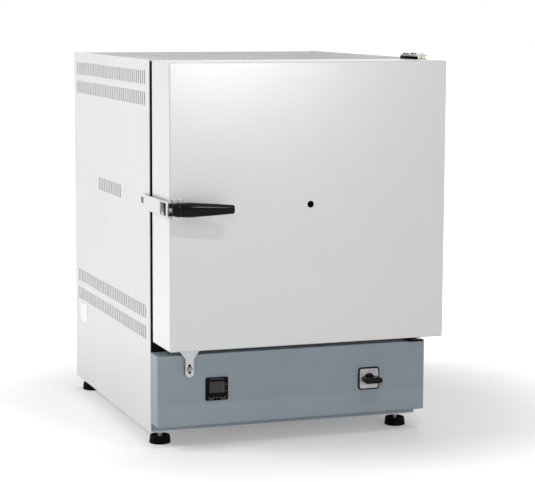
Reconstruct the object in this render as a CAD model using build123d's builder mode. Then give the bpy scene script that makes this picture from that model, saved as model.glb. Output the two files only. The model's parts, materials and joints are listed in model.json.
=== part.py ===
import os
from math import atan, cos, degrees, radians, sin, sqrt

from build123d import *

os.makedirs("parts", exist_ok=True)

# ---------------------------------------------------------------- driving dimensions
casing_width = 595
casing_depth = 640
top_lap = 1                 # casing above the top of the door
ground_clearance = 30
skin = 1.5                  # painted outer sheet
inner_sheet = 1.0           # sheet of the inner shell
cover_recess = 2            # top cover below the edges of the side panels
flange = 18                 # folded flanges of the casing sheets
frame_plate = 2             # black front plate
frame_inset = 1             # front plate inside the outline of the casing
seat_gap = 0.3              # clearance between seated pieces of different bodies

side_lap = 0.5              # door and panel beyond the casing on each side
door_height = 576
door_thickness = 120
door_gap = 22               # casing front plane to the rear of the door
door_bottom = 224
door_edge_radius = 3
door_flange = 20

panel_height = 150
panel_depth = 52
panel_bottom = 50
panel_edge_radius = 3
skirt_bottom = 33           # strip below the panel that covers the front of the base

chamber_width = 300
chamber_height = 280
chamber_depth = 440
throat_depth = 75
throat_flare = 12           # widening of the mouth on each side
flare_depth = 26
heater_plate_thickness = 25
hearth_thickness = 10
air_gap = 21.5              # between outer skin and inner shell
roof_air_gap = 20.5
rear_air_gap = 20
deck_height = 214           # underside of the sheet between chamber and controls

plug_depth = 37             # plug behind the rear face of the door
plug_clearance = 4
plug_flare = 16
gasket_width = 24

peep_radius = 7
peep_tube_wall = 4

groove_count = 6
groove_pitch = 44
groove_radius = 6
groove_centre_depth = 4.5
coil_radius = 5.5
groove_end_margin = 16

vent_slot_width = 6
vent_slot_height = 28
vent_slot_pitch = 15
vent_slot_count = 39
vent_row_pitch = 43
vent_rows_upper = 721       # centre height of the second row from the top
vent_rows_lower = 236       # centre height of the lowest row

foot_radius = 22.5
foot_top_radius = 21
foot_height = 17
foot_side_inset = 29.5
foot_end_inset = 33.3
stud_radius = 5
nut_across_flats = 17
nut_height = 8

hinge_axis_inset = 15       # hinge axis from the right side of the casing
hinge_axis_front = 53       # hinge axis in front of the casing front plane
hinge_pin_radius = 4
bush_radius = 7.5
bush_length = 26
bush_flange_radius = 10
bush_flange_thickness = 1.5
collar_radius = 6
running_clearance = 0.05
hinge_plate_thickness = 3.5
hinge_plate_width = 28
hinge_plate_rise = 6        # hinge plate above the top of the door
hinge_plate_nose = 12       # plate in front of the hinge axis
hinge_plate_margin = 8      # plate to the right of the hinge axis
hinge_seat_front = 15       # hinge seat in front of the casing front plane
hinge_seat_rear = 16        # hinge seat behind the casing front plane
hinge_screw_radius = 2
hinge_screw_pitch = (17.4, 16.5)
hinge_screw_setting = 1.75  # centre of the four screws in front of the casing front plane
lower_bracket_thickness = 3.5
lower_bracket_width = 32
lower_bracket_leg = 30

keeper_thickness = 3
keeper_height = 30
keeper_standoff = 8         # inner face of the keeper from the casing side
keeper_seat = 34            # length of keeper on the casing side
keeper_seat_start = 20
keeper_window_length = 42
keeper_window_height = 26
keeper_bar = 6
keeper_bar_front = 16.5     # front end of the keeper in front of the door face

pawl_radius = 19.2
pawl_grip = 2.5             # depth of the pawl behind the keeper bar
hub_radius = 11.5
tongue_height = 8           # tongue of the latch bracket between the cheeks of the hub
tongue_radius = 7
latch_pin_radius = 4
latch_axis_inset = 3        # latch axis from the left side of the casing
latch_axis_front = 22.5     # latch axis in front of the door face
bracket_thickness = 2.5
bracket_width = 26
bracket_height = 40
handle_rest_turn = 9        # outward turn of the grip at rest
handle_clamp_turn = 14      # further inward turn that clamps the door
grip_start = 9              # end of the hub and start of the grip
grip_belly = 32
grip_end = 119
grip_start_radius = 14
grip_belly_radius = 14.8
grip_end_radius = 8.5

controller_x = 126.7        # from the left side of the casing
control_height = 125.4      # centre height of controller and main switch
controller_size = 48
controller_bezel = 4
controller_cutout = 45
controller_body_depth = 75
screen_width = 33
screen_height = 23.5
key_count = 5
key_pitch = 8.3
key_length = 5.6
key_height = 3.4
key_travel = 0.6
key_stand = 0.8
key_thickness = 2.5
key_clearance = 0.3
key_drop = 18.2             # row of keys below the centre of the controller

switch_x = 466.3
switch_size = 48
switch_frame_depth = 3
switch_neck_radius = 11
switch_body_size = 40
switch_body_depth = 44
knob_radius = 12
knob_base = 6
knob_height = 29
knob_wing_length = 40
knob_wing_width = 12

tab_x = 67
tab_plane = 4               # gap between the tab and the control panel
tab_thickness = 2
tab_top_width = 48
tab_tip_width = 18
tab_reach = 70              # tip of the tab below the door
tab_slot_length = 20
tab_slot_width = 6.4
actuator_height = 171
actuator_radius = 3
plunger_radius = 3
plunger_travel = 3

gland_inset = 75            # cable gland from the right side of the casing
gland_height = 95
gland_bore = 5
gland_reach = 20

# ---------------------------------------------------------------- derived positions
casing_height = door_bottom + door_height + top_lap - ground_clearance
door_width = casing_width + 2 * side_lap
panel_width = door_width
keeper_reach = keeper_standoff + keeper_thickness
grip_angle = radians(handle_rest_turn)
door_front_reach = door_gap + door_thickness
handle_reach = (door_front_reach + latch_axis_front + grip_end * sin(grip_angle)
                + grip_end_radius * cos(grip_angle))

overall_width = keeper_reach + casing_width + side_lap
overall_depth = handle_reach + casing_depth + gland_reach
left_x = keeper_reach - overall_width / 2
right_x = left_x + casing_width
mid_x = (left_x + right_x) / 2
front_y = handle_reach - overall_depth / 2
rear_y = front_y + casing_depth
mid_y = (front_y + rear_y) / 2
base_z = ground_clearance
top_z = base_z + casing_height
mid_z = (base_z + top_z) / 2
inner_left = left_x + skin
inner_right = right_x - skin
inner_width = inner_right - inner_left
cover_z = top_z - cover_recess

frame_front = front_y - frame_plate
door_rear_y = front_y - door_gap
door_front_y = door_rear_y - door_thickness
door_left = mid_x - door_width / 2
door_right = mid_x + door_width / 2
door_top = door_bottom + door_height
door_mid_z = door_bottom + door_height / 2
panel_front_y = front_y - panel_depth
panel_top = panel_bottom + panel_height
panel_mid_z = panel_bottom + panel_height / 2
hinge_x = right_x - hinge_axis_inset
hinge_y = front_y - hinge_axis_front
latch_x = left_x + latch_axis_inset
latch_y = door_front_y - latch_axis_front

shell_left = left_x + skin + air_gap
shell_right = right_x - skin - air_gap
shell_width = shell_right - shell_left
shell_bottom = deck_height + skin
shell_top = cover_z - skin - roof_air_gap
shell_height = shell_top - shell_bottom
shell_rear = rear_y - 2 * skin - rear_air_gap + inner_sheet
shell_mid_z = (shell_bottom + shell_top) / 2
board_left = shell_left + inner_sheet
board_right = shell_right - inner_sheet
board_bottom = shell_bottom + inner_sheet
board_top = shell_top - inner_sheet
board_rear = shell_rear - inner_sheet
chamber_left = mid_x - chamber_width / 2
chamber_right = mid_x + chamber_width / 2
chamber_mid_z = door_mid_z
chamber_floor = chamber_mid_z - chamber_height / 2
chamber_roof = chamber_mid_z + chamber_height / 2
chamber_front = front_y + throat_depth
chamber_rear = chamber_front + chamber_depth
chamber_mid_y = (chamber_front + chamber_rear) / 2
heater_left = chamber_left - heater_plate_thickness
heater_right = chamber_right + heater_plate_thickness
heater_roof = chamber_roof + heater_plate_thickness
hearth_bottom = chamber_floor - hearth_thickness
back_rear = chamber_rear + heater_plate_thickness


def front_plane(y):
    """Vertical plane at depth y: sketch x is X, sketch y is Z, extrusion runs to the front."""
    return Plane(origin=(0, y, 0), x_dir=(1, 0, 0), z_dir=(0, -1, 0))


def rear_plane(y):
    """Vertical plane at depth y whose extrusion runs to the rear."""
    return Plane(origin=(0, y, 0), x_dir=(-1, 0, 0), z_dir=(0, 1, 0))


def finish(builder, name):
    builder.part.label = name
    export_step(builder.part, "parts/" + name + ".step")


def span(low, high):
    return (low + high) / 2


# ---------------------------------------------------------------- casing sheets
base_lip = panel_bottom - base_z - frame_plate
foot_xs = (left_x + foot_side_inset, right_x - foot_side_inset)
foot_ys = (front_y + foot_end_inset, rear_y - foot_end_inset)
foot_places = [(x, y) for x in foot_xs for y in foot_ys]
cooling_slot = (60, 6)
cooling_slot_pitch = (90, 24)

with BuildPart() as base_tray:
    with BuildSketch(Plane.YZ.offset(inner_left)):
        with BuildLine():
            FilletPolyline(
                (front_y - skin / 2, base_z + base_lip),
                (front_y - skin / 2, base_z + skin / 2),
                (rear_y - 1.5 * skin, base_z + skin / 2),
                (rear_y - 1.5 * skin, base_z + base_lip),
                radius=skin,
            )
        trace(line_width=skin)
    extrude(amount=inner_width)
    with BuildSketch(Plane.XY.offset(base_z)):
        with Locations(*foot_places):
            Circle(stud_radius + running_clearance)
        with Locations((mid_x, mid_y)):
            with GridLocations(*cooling_slot_pitch, 4, 4):
                Rectangle(*cooling_slot)
    extrude(amount=skin, mode=Mode.SUBTRACT)
finish(base_tray, "base_tray")

vent_centres = [
    vent_rows_lower,
    vent_rows_lower + vent_row_pitch,
    vent_rows_upper,
    vent_rows_upper + vent_row_pitch,
]
badge_slots = 13            # short plain row half way up the left side
flange_bottom = base_z + base_lip + flange
flange_top = cover_z - 2 * flange


def side_panel(outer_x, inward, with_short_row):
    """Folded side sheet with four rows of cooling slots."""
    inner_x = outer_x + inward * skin
    flange_x = inner_x + inward * flange / 2
    with BuildPart() as panel:
        with BuildSketch(Plane.XY.offset(base_z)):
            with Locations((span(outer_x, inner_x), mid_y)):
                Rectangle(skin, casing_depth)
        extrude(amount=casing_height)
        with BuildSketch(Plane.XY.offset(flange_bottom)):
            with Locations((flange_x, front_y + skin / 2), (flange_x, rear_y - 1.5 * skin)):
                Rectangle(flange, skin)
        extrude(amount=flange_top - flange_bottom)
        with BuildSketch(Plane.YZ.offset(min(outer_x, inner_x))):
            for height in vent_centres:
                with Locations((mid_y, height)):
                    with GridLocations(vent_slot_pitch, 1, vent_slot_count, 1):
                        Rectangle(vent_slot_width, vent_slot_height)
            if with_short_row:
                with Locations((mid_y, door_mid_z)):
                    with GridLocations(vent_slot_pitch, 1, badge_slots, 1):
                        Rectangle(vent_slot_width, vent_slot_height)
        extrude(amount=skin, mode=Mode.SUBTRACT)
        if with_short_row:
            with Locations(Plane(keeper_screw_place, z_dir=(-1, 0, 0))):
                Hole(keeper_screw_radius, depth=skin)
    return panel


keeper_screw_radius = 4
keeper_screw_y = front_y + keeper_seat_start + 0.6 * keeper_seat
keeper_screw_place = (left_x, keeper_screw_y, door_mid_z)

left_side_panel = side_panel(left_x, 1, True)
finish(left_side_panel, "left_side_panel")
right_side_panel = side_panel(right_x, -1, False)
finish(right_side_panel, "right_side_panel")

top_slot_length = 90
top_slot_pitch = (24, 190)

with BuildPart() as top_cover:
    with BuildSketch(Plane.YZ.offset(inner_left)):
        with BuildLine():
            FilletPolyline(
                (front_y + skin / 2, cover_z - flange),
                (front_y + skin / 2, cover_z - skin / 2),
                (rear_y - 1.5 * skin, cover_z - skin / 2),
                (rear_y - 1.5 * skin, cover_z - flange),
                radius=skin,
            )
        trace(line_width=skin)
    extrude(amount=inner_width)
    with BuildSketch(Plane.XY.offset(cover_z - skin)):
        with Locations((mid_x, mid_y)):
            with GridLocations(*top_slot_pitch, 18, 3):
                Rectangle(vent_slot_width, top_slot_length)
    extrude(amount=skin, mode=Mode.SUBTRACT)
finish(top_cover, "top_cover")

gland_place = (right_x - gland_inset, gland_height)
gland_thread_radius = gland_bore + 3

with BuildPart() as rear_panel:
    with BuildSketch(rear_plane(rear_y - skin)):
        with Locations((-mid_x, span(base_z + skin, cover_z))):
            Rectangle(inner_width, cover_z - base_z - skin)
        for height in (vent_rows_lower, vent_rows_upper + vent_row_pitch):
            with Locations((-mid_x, height)):
                with GridLocations(vent_slot_pitch, 1, 29, 1):
                    Rectangle(vent_slot_width, vent_slot_height, mode=Mode.SUBTRACT)
        with Locations((-gland_place[0], gland_place[1])):
            Circle(gland_thread_radius, mode=Mode.SUBTRACT)
    extrude(amount=skin)
finish(rear_panel, "rear_panel")

frame_opening_margin = 30
control_opening_margin = 26
hinge_plate_right = hinge_x + hinge_plate_margin
hinge_plate_mid_x = hinge_plate_right - hinge_plate_width / 2
hinge_plate_low = door_top + hinge_plate_rise
hinge_seat_length = hinge_seat_front + hinge_seat_rear
hinge_seat_mid_y = front_y + (hinge_seat_rear - hinge_seat_front) / 2
hinge_screw_mid_y = front_y - hinge_screw_setting
hinge_screw_places = [
    (hinge_plate_mid_x + side * hinge_screw_pitch[0] / 2, hinge_screw_mid_y + end * hinge_screw_pitch[1] / 2)
    for side in (-1, 1)
    for end in (-1, 1)
]

with BuildPart() as front_frame:
    with BuildSketch(front_plane(front_y)):
        with Locations((mid_x, span(panel_bottom, cover_z - frame_inset))):
            Rectangle(casing_width - 2 * frame_inset, cover_z - frame_inset - panel_bottom)
        with Locations((mid_x, chamber_mid_z)):
            RectangleRounded(
                chamber_width + 2 * frame_opening_margin,
                chamber_height + 2 * frame_opening_margin,
                10,
                mode=Mode.SUBTRACT,
            )
        with Locations((mid_x, panel_mid_z)):
            RectangleRounded(
                casing_width - 2 * control_opening_margin,
                panel_height - control_opening_margin,
                6,
                mode=Mode.SUBTRACT,
            )
        with Locations((hinge_plate_mid_x, span(cover_z - frame_inset, hinge_plate_low))):
            Rectangle(hinge_plate_width, hinge_plate_low - cover_z + frame_inset)
    extrude(amount=frame_plate)
    with BuildSketch(Plane.XY.offset(cover_z)):
        with Locations((hinge_plate_mid_x, hinge_seat_mid_y)):
            Rectangle(hinge_plate_width, hinge_seat_length)
        with Locations(*hinge_screw_places):
            Circle(hinge_screw_radius, mode=Mode.SUBTRACT)
    extrude(amount=hinge_plate_low - cover_z)
finish(front_frame, "front_frame")

deck_slot = (10, 50)
deck_slot_pitch = 80

with BuildPart() as deck_plate:
    with BuildSketch(Plane.XY.offset(deck_height)):
        with Locations((mid_x, span(front_y + skin, rear_y - 2 * skin))):
            Rectangle(inner_width, casing_depth - 3 * skin)
        with Locations((mid_x, mid_y)):
            with GridLocations(inner_width - air_gap, deck_slot_pitch, 2, 7):
                Rectangle(*deck_slot, mode=Mode.SUBTRACT)
    extrude(amount=skin)
finish(deck_plate, "deck_plate")

# ---------------------------------------------------------------- inner shell and insulation
probe_offset = 60
probe_drop = 30             # thermocouple below the roof of the chamber
probe_x = mid_x + probe_offset
probe_z = chamber_roof - probe_drop
probe_radius = 4
probe_reach = 30

with BuildPart() as inner_shell:
    with BuildSketch(rear_plane(front_y)):
        with Locations((-mid_x, shell_mid_z)):
            Rectangle(shell_width, shell_height)
    extrude(amount=shell_rear - front_y)
    with BuildSketch(rear_plane(front_y)):
        with Locations((-mid_x, shell_mid_z)):
            Rectangle(shell_width - 2 * inner_sheet, shell_height - 2 * inner_sheet)
    extrude(amount=board_rear - front_y, mode=Mode.SUBTRACT)
    with Locations(Plane((probe_x, shell_rear, probe_z), z_dir=(0, 1, 0))):
        Hole(probe_radius + running_clearance, depth=inner_sheet)
finish(inner_shell, "inner_shell")


board_place_y = span(chamber_front, back_rear)
board_length = back_rear - chamber_front
side_board_width = heater_left - board_left
side_board_xs = (span(board_left, heater_left), span(heater_right, board_right))

with BuildPart() as insulation_slabs:
    for slab_low, slab_high in ((board_bottom, hearth_bottom), (heater_roof, board_top)):
        with BuildSketch(Plane.XY.offset(slab_low)):
            with Locations((mid_x, board_place_y)):
                Rectangle(board_right - board_left, board_length)
        extrude(amount=slab_high - slab_low)
finish(insulation_slabs, "insulation_slabs")

with BuildPart() as insulation_sides:
    with BuildSketch(Plane.XY.offset(hearth_bottom)):
        with Locations(*[(x, board_place_y) for x in side_board_xs]):
            Rectangle(side_board_width, board_length)
    extrude(amount=heater_roof - hearth_bottom)
finish(insulation_sides, "insulation_sides")

with BuildPart() as insulation_rear:
    with BuildSketch(rear_plane(back_rear)):
        with Locations((-mid_x, span(board_bottom, board_top))):
            Rectangle(board_right - board_left, board_top - board_bottom)
        with Locations((-probe_x, probe_z)):
            Circle(probe_radius + running_clearance, mode=Mode.SUBTRACT)
    extrude(amount=board_rear - back_rear)
finish(insulation_rear, "insulation_rear")

mouth_width = chamber_width + 2 * throat_flare
mouth_height = chamber_height + 2 * throat_flare

with BuildPart() as throat_frame:
    with BuildSketch(rear_plane(front_y)):
        with Locations((-mid_x, span(board_bottom, board_top))):
            Rectangle(board_right - board_left, board_top - board_bottom)
        with Locations((-mid_x, chamber_mid_z)):
            Rectangle(chamber_width, chamber_height, mode=Mode.SUBTRACT)
    extrude(amount=throat_depth)
    with BuildSketch(rear_plane(front_y)):
        with Locations((-mid_x, chamber_mid_z)):
            Rectangle(mouth_width, mouth_height)
    with BuildSketch(rear_plane(front_y + flare_depth)):
        with Locations((-mid_x, chamber_mid_z)):
            Rectangle(chamber_width, chamber_height)
    loft(mode=Mode.SUBTRACT)
finish(throat_frame, "throat_frame")

with BuildPart() as muffle_back:
    with BuildSketch(rear_plane(chamber_rear)):
        with Locations((-mid_x, span(hearth_bottom, heater_roof))):
            Rectangle(heater_right - heater_left, heater_roof - hearth_bottom)
        with Locations((-probe_x, probe_z)):
            Circle(probe_radius + running_clearance, mode=Mode.SUBTRACT)
    extrude(amount=heater_plate_thickness)
finish(muffle_back, "muffle_back")

hearth_side_gap = 0.5

with BuildPart() as hearth_plate:
    with BuildSketch(Plane.XY.offset(hearth_bottom)):
        with Locations((mid_x, chamber_mid_y)):
            RectangleRounded(chamber_width - 2 * hearth_side_gap, chamber_depth - 2 * hearth_side_gap, 6)
    extrude(amount=hearth_thickness)
    chamfer(hearth_plate.faces().sort_by(Axis.Z)[-1].edges(), length=2)
finish(hearth_plate, "hearth_plate")

# ---------------------------------------------------------------- heater plates and coils
groove_front = chamber_front + groove_end_margin
groove_rear = chamber_rear - groove_end_margin
groove_offsets = [(index - (groove_count - 1) / 2) * groove_pitch for index in range(groove_count)]


def winding(place_on_plate):
    """Corner points of a coil: out and back through every groove."""
    points = []
    for index, offset in enumerate(groove_offsets):
        ends = (groove_front, groove_rear) if index % 2 == 0 else (groove_rear, groove_front)
        for end in ends:
            points.append(place_on_plate(offset, end))
    return points


def left_groove(offset, y):
    return (chamber_left - groove_centre_depth, y, chamber_mid_z + offset)


def right_groove(offset, y):
    return (chamber_right + groove_centre_depth, y, chamber_mid_z + offset)


def roof_groove(offset, y):
    return (mid_x + offset, y, chamber_roof + groove_centre_depth)


side_plate_xs = (chamber_left - heater_plate_thickness / 2, chamber_right + heater_plate_thickness / 2)

with BuildPart() as heater_plates_side:
    with BuildSketch(Plane.XY.offset(hearth_bottom)):
        with Locations(*[(x, chamber_mid_y) for x in side_plate_xs]):
            Rectangle(heater_plate_thickness, chamber_depth)
    extrude(amount=chamber_roof - hearth_bottom)
    for side_groove in (left_groove, right_groove):
        with BuildLine() as route:
            Polyline(*winding(side_groove))
        with BuildSketch(route.line ^ 0):
            Circle(groove_radius)
        sweep(transition=Transition.RIGHT, mode=Mode.SUBTRACT)
finish(heater_plates_side, "heater_plates_side")

with BuildPart() as heater_plate_roof:
    with BuildSketch(Plane.XY.offset(chamber_roof)):
        with Locations((mid_x, chamber_mid_y)):
            Rectangle(chamber_width + 2 * heater_plate_thickness, chamber_depth)
    extrude(amount=heater_plate_thickness)
    with BuildLine() as route:
        Polyline(*winding(roof_groove))
    with BuildSketch(route.line ^ 0):
        Circle(groove_radius)
    sweep(transition=Transition.RIGHT, mode=Mode.SUBTRACT)
finish(heater_plate_roof, "heater_plate_roof")

with BuildPart() as heating_coils_side:
    for side_groove in (left_groove, right_groove):
        with BuildLine() as route:
            Polyline(*winding(side_groove))
        with BuildSketch(route.line ^ 0):
            RegularPolygon(coil_radius, 8)
        sweep(transition=Transition.RIGHT)
finish(heating_coils_side, "heating_coils_side")

with BuildPart() as heating_coil_roof:
    with BuildLine() as route:
        Polyline(*winding(roof_groove))
    with BuildSketch(route.line ^ 0):
        RegularPolygon(coil_radius, 8)
    sweep(transition=Transition.RIGHT)
finish(heating_coil_roof, "heating_coil_roof")

# ---------------------------------------------------------------- thermocouple
probe_head_radius = 13
probe_head_depth = 16

with BuildPart() as thermocouple_sheath:
    with BuildSketch(rear_plane(chamber_rear - probe_reach)):
        with Locations((-probe_x, probe_z)):
            Circle(probe_radius)
    extrude(amount=shell_rear - chamber_rear + probe_reach)
    chamfer(thermocouple_sheath.faces().sort_by(Axis.Y)[0].edges(), length=1.5)
finish(thermocouple_sheath, "thermocouple_sheath")

with BuildPart() as thermocouple_head:
    with BuildSketch(rear_plane(shell_rear)):
        with Locations((-probe_x, probe_z)):
            Circle(probe_head_radius)
    extrude(amount=probe_head_depth)
    chamfer(thermocouple_head.faces().sort_by(Axis.Y)[-1].edges(), length=2)
finish(thermocouple_head, "thermocouple_head")

# ---------------------------------------------------------------- control panel
plunger_slot = (22, 9)
panel_screw_radius = 2
panel_screw_insets = (30, 45)        # from the left and the right side of the casing
panel_screw_y = front_y - panel_depth / 2
panel_screw_xs = (left_x + panel_screw_insets[0], mid_x, right_x - panel_screw_insets[1])
skirt_height = panel_bottom + skin - skirt_bottom
panel_screw_places = [(x, panel_screw_y) for x in panel_screw_xs]
controller_centre = (left_x + controller_x, control_height)
switch_centre = (left_x + switch_x, control_height)
tab_centre_x = left_x + tab_x
actuator_centre = (tab_centre_x, actuator_height)

with BuildPart() as control_panel:
    with BuildSketch(front_plane(frame_front)):
        with Locations((mid_x, panel_mid_z)):
            RectangleRounded(panel_width, panel_height, panel_edge_radius)
    extrude(amount=panel_depth - frame_plate)
    fillet(control_panel.faces().sort_by(Axis.Y)[0].edges(), radius=panel_edge_radius * 0.95)
    with BuildSketch(front_plane(frame_front)):
        with Locations((mid_x, panel_mid_z)):
            Rectangle(panel_width - 2 * skin, panel_height - 2 * skin)
    extrude(amount=panel_depth - frame_plate - skin, mode=Mode.SUBTRACT)
    with BuildSketch(front_plane(panel_front_y + skin)):
        with Locations(controller_centre):
            Rectangle(controller_cutout, controller_cutout)
        with Locations(switch_centre):
            Circle(switch_neck_radius)
        with Locations(actuator_centre):
            SlotOverall(*plunger_slot, rotation=90)
    extrude(amount=skin, mode=Mode.SUBTRACT)
    with BuildSketch(Plane.XY.offset(panel_bottom)):
        with Locations(*panel_screw_places):
            Circle(panel_screw_radius)
    extrude(amount=panel_height, mode=Mode.SUBTRACT)
    with BuildSketch(front_plane(frame_front)):
        with Locations((mid_x, skirt_bottom + skirt_height / 2)):
            Rectangle(casing_width - 2 * frame_inset, skirt_height)
    extrude(amount=skin)
finish(control_panel, "control_panel")

# ---------------------------------------------------------------- temperature controller
bezel_front_y = panel_front_y - controller_bezel
key_pocket_depth = key_thickness - key_stand + key_travel + seat_gap
screen_depth = 1.2
screen_rise = 3.7           # centre of the screen above the centre of the bezel
key_height_z = control_height - key_drop
key_xs = [
    controller_centre[0] + (index - (key_count - 1) / 2) * key_pitch for index in range(key_count)
]

with BuildPart() as controller_body:
    with BuildSketch(front_plane(panel_front_y)):
        with Locations(controller_centre):
            RectangleRounded(controller_size, controller_size, 3)
    extrude(amount=controller_bezel)
    chamfer(controller_body.faces().sort_by(Axis.Y)[0].edges(), length=0.8)
    with BuildSketch(front_plane(panel_front_y)):
        with Locations(controller_centre):
            Rectangle(controller_cutout, controller_cutout)
    extrude(amount=-controller_body_depth)
    with BuildSketch(front_plane(bezel_front_y)):
        with Locations((controller_centre[0], control_height + screen_rise)):
            Rectangle(screen_width, screen_height)
    extrude(amount=-screen_depth, mode=Mode.SUBTRACT)
    with BuildSketch(front_plane(bezel_front_y)):
        with Locations(*[(x, key_height_z) for x in key_xs]):
            SlotOverall(key_length + 2 * key_clearance, key_height + 2 * key_clearance)
    extrude(amount=-key_pocket_depth, mode=Mode.SUBTRACT)
finish(controller_body, "controller_body")

with BuildPart() as controller_screen:
    with BuildSketch(front_plane(bezel_front_y + screen_depth)):
        with Locations((controller_centre[0], control_height + screen_rise)):
            Rectangle(screen_width, screen_height)
    extrude(amount=screen_depth - 0.2)
finish(controller_screen, "controller_screen")


def key(number, x):
    with BuildPart() as button:
        with BuildSketch(front_plane(bezel_front_y - key_stand + key_thickness)):
            with Locations((x, key_height_z)):
                SlotOverall(key_length, key_height)
        extrude(amount=key_thickness)
    finish(button, "key_" + str(number))


for number, x in enumerate(key_xs, start=1):
    key(number, x)

# ---------------------------------------------------------------- main switch
switch_plate_depth = 0.8
switch_front_y = panel_front_y - switch_frame_depth
knob_seat_y = switch_front_y - seat_gap

with BuildPart() as switch_body:
    with BuildSketch(front_plane(panel_front_y)):
        with Locations(switch_centre):
            RectangleRounded(switch_size, switch_size, 6)
    extrude(amount=switch_frame_depth)
    chamfer(switch_body.faces().sort_by(Axis.Y)[0].edges(), length=1)
    with BuildSketch(front_plane(panel_front_y)):
        with Locations(switch_centre):
            Circle(switch_neck_radius)
    extrude(amount=-skin)
    with BuildSketch(front_plane(panel_front_y + skin)):
        with Locations(switch_centre):
            RectangleRounded(switch_body_size, switch_body_size, 2)
    extrude(amount=-switch_body_depth)
    with BuildSketch(front_plane(switch_front_y)):
        with Locations(switch_centre):
            RectangleRounded(switch_size - 6, switch_size - 6, 4)
    extrude(amount=-switch_plate_depth, mode=Mode.SUBTRACT)
finish(switch_body, "switch_body")

with BuildPart() as switch_plate:
    with BuildSketch(front_plane(switch_front_y + switch_plate_depth)):
        with Locations(switch_centre):
            RectangleRounded(switch_size - 6, switch_size - 6, 4)
    extrude(amount=switch_plate_depth)
finish(switch_plate, "switch_plate")

with BuildPart() as switch_knob:
    with BuildSketch(front_plane(knob_seat_y)):
        with Locations(switch_centre):
            Circle(knob_radius)
    extrude(amount=knob_base, taper=8)
    with BuildSketch(front_plane(knob_seat_y - knob_base)):
        with Locations(switch_centre):
            SlotOverall(knob_wing_length, knob_wing_width)
    extrude(amount=knob_height - knob_base, taper=3)
    chamfer(switch_knob.faces().sort_by(Axis.Y)[0].edges(), length=1)
finish(switch_knob, "switch_knob")

# ---------------------------------------------------------------- door interlock
interlock_depth = 34
interlock_size = (20, 30)
actuator_tip_y = panel_front_y - 1.5
plunger_front_y = actuator_tip_y + seat_gap
plunger_rear_y = panel_front_y + skin + 12

with BuildPart() as interlock_switch:
    with BuildSketch(front_plane(panel_front_y + skin)):
        with Locations(actuator_centre):
            RectangleRounded(*interlock_size, 2)
    extrude(amount=-interlock_depth)
    with BuildSketch(front_plane(panel_front_y + skin)):
        with Locations(actuator_centre):
            Circle(plunger_radius + running_clearance)
    extrude(amount=-(plunger_rear_y + plunger_travel + 1 - panel_front_y - skin), mode=Mode.SUBTRACT)
finish(interlock_switch, "interlock_switch")

with BuildPart() as interlock_plunger:
    with BuildSketch(front_plane(plunger_rear_y)):
        with Locations(actuator_centre):
            Circle(plunger_radius)
    extrude(amount=plunger_rear_y - plunger_front_y)
    chamfer(interlock_plunger.faces().sort_by(Axis.Y)[0].edges(), length=0.8)
finish(interlock_plunger, "interlock_plunger")

# ---------------------------------------------------------------- electrical gear behind the panel
rail_setback = 260          # rail behind the casing front plane
rail_y = front_y + rail_setback
rail_height = 7.5
rail_floor = base_z + skin
rail_length = 320
rail_shift = 20
rail_centre_x = mid_x + rail_shift

with BuildPart() as din_rail:
    with BuildSketch(Plane.YZ.offset(rail_centre_x - rail_length / 2)):
        with BuildLine():
            Polyline(
                (rail_y - 17.5, rail_floor + rail_height - 0.5),
                (rail_y - 13, rail_floor + rail_height - 0.5),
                (rail_y - 13, rail_floor + 0.5),
                (rail_y + 13, rail_floor + 0.5),
                (rail_y + 13, rail_floor + rail_height - 0.5),
                (rail_y + 17.5, rail_floor + rail_height - 0.5),
            )
        trace(line_width=1)
    extrude(amount=rail_length)
finish(din_rail, "din_rail")

terminal_pitch = 8
terminal_count = 8
terminal_x = rail_centre_x + rail_length / 2 - 50

with BuildPart() as terminal_block:
    with BuildSketch(Plane.YZ.offset(terminal_x - terminal_pitch * terminal_count / 2)):
        with BuildLine():
            Polyline(
                (rail_y - 24, rail_floor + rail_height),
                (rail_y + 24, rail_floor + rail_height),
                (rail_y + 24, rail_floor + 30),
                (rail_y + 12, rail_floor + 46),
                (rail_y - 12, rail_floor + 46),
                (rail_y - 24, rail_floor + 30),
                close=True,
            )
        make_face()
    extrude(amount=terminal_pitch * terminal_count)
    with BuildSketch(Plane.XY.offset(rail_floor + 46)):
        with Locations((terminal_x, rail_y)):
            with GridLocations(terminal_pitch, 1, terminal_count - 1, 1):
                Rectangle(1, 24)
    extrude(amount=-10, mode=Mode.SUBTRACT)
finish(terminal_block, "terminal_block")

sink_shift = 70
sink_x = rail_centre_x - sink_shift
sink_length = 80
sink_width = 90
sink_base = 6
sink_fin_height = 44
fin_count = 9
fin_thickness = 2

with BuildPart() as heatsink:
    with BuildSketch(Plane.XZ.offset(-(rail_y - sink_length / 2))):
        with Locations((sink_x, rail_floor + rail_height + sink_fin_height / 2)):
            with GridLocations((sink_width - fin_thickness) / (fin_count - 1), 1, fin_count, 1):
                Rectangle(fin_thickness, sink_fin_height)
        with Locations((sink_x, rail_floor + rail_height + sink_fin_height + sink_base / 2)):
            Rectangle(sink_width, sink_base)
    extrude(amount=-sink_length)
finish(heatsink, "heatsink")

relay_floor = rail_floor + rail_height + sink_fin_height + sink_base
relay_size = (44, 58)

with BuildPart() as solid_state_relay:
    with BuildSketch(Plane.XY.offset(relay_floor)):
        with Locations((sink_x, rail_y)):
            RectangleRounded(*relay_size, 4)
    extrude(amount=26)
    with BuildSketch(Plane.XY.offset(relay_floor + 26)):
        with Locations((sink_x, rail_y)):
            with GridLocations(26, 46, 2, 2):
                Rectangle(12, 12)
    extrude(amount=-8, mode=Mode.SUBTRACT)
finish(solid_state_relay, "solid_state_relay")

gland_flange_radius = 13
gland_plane = rear_plane(rear_y)

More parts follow.
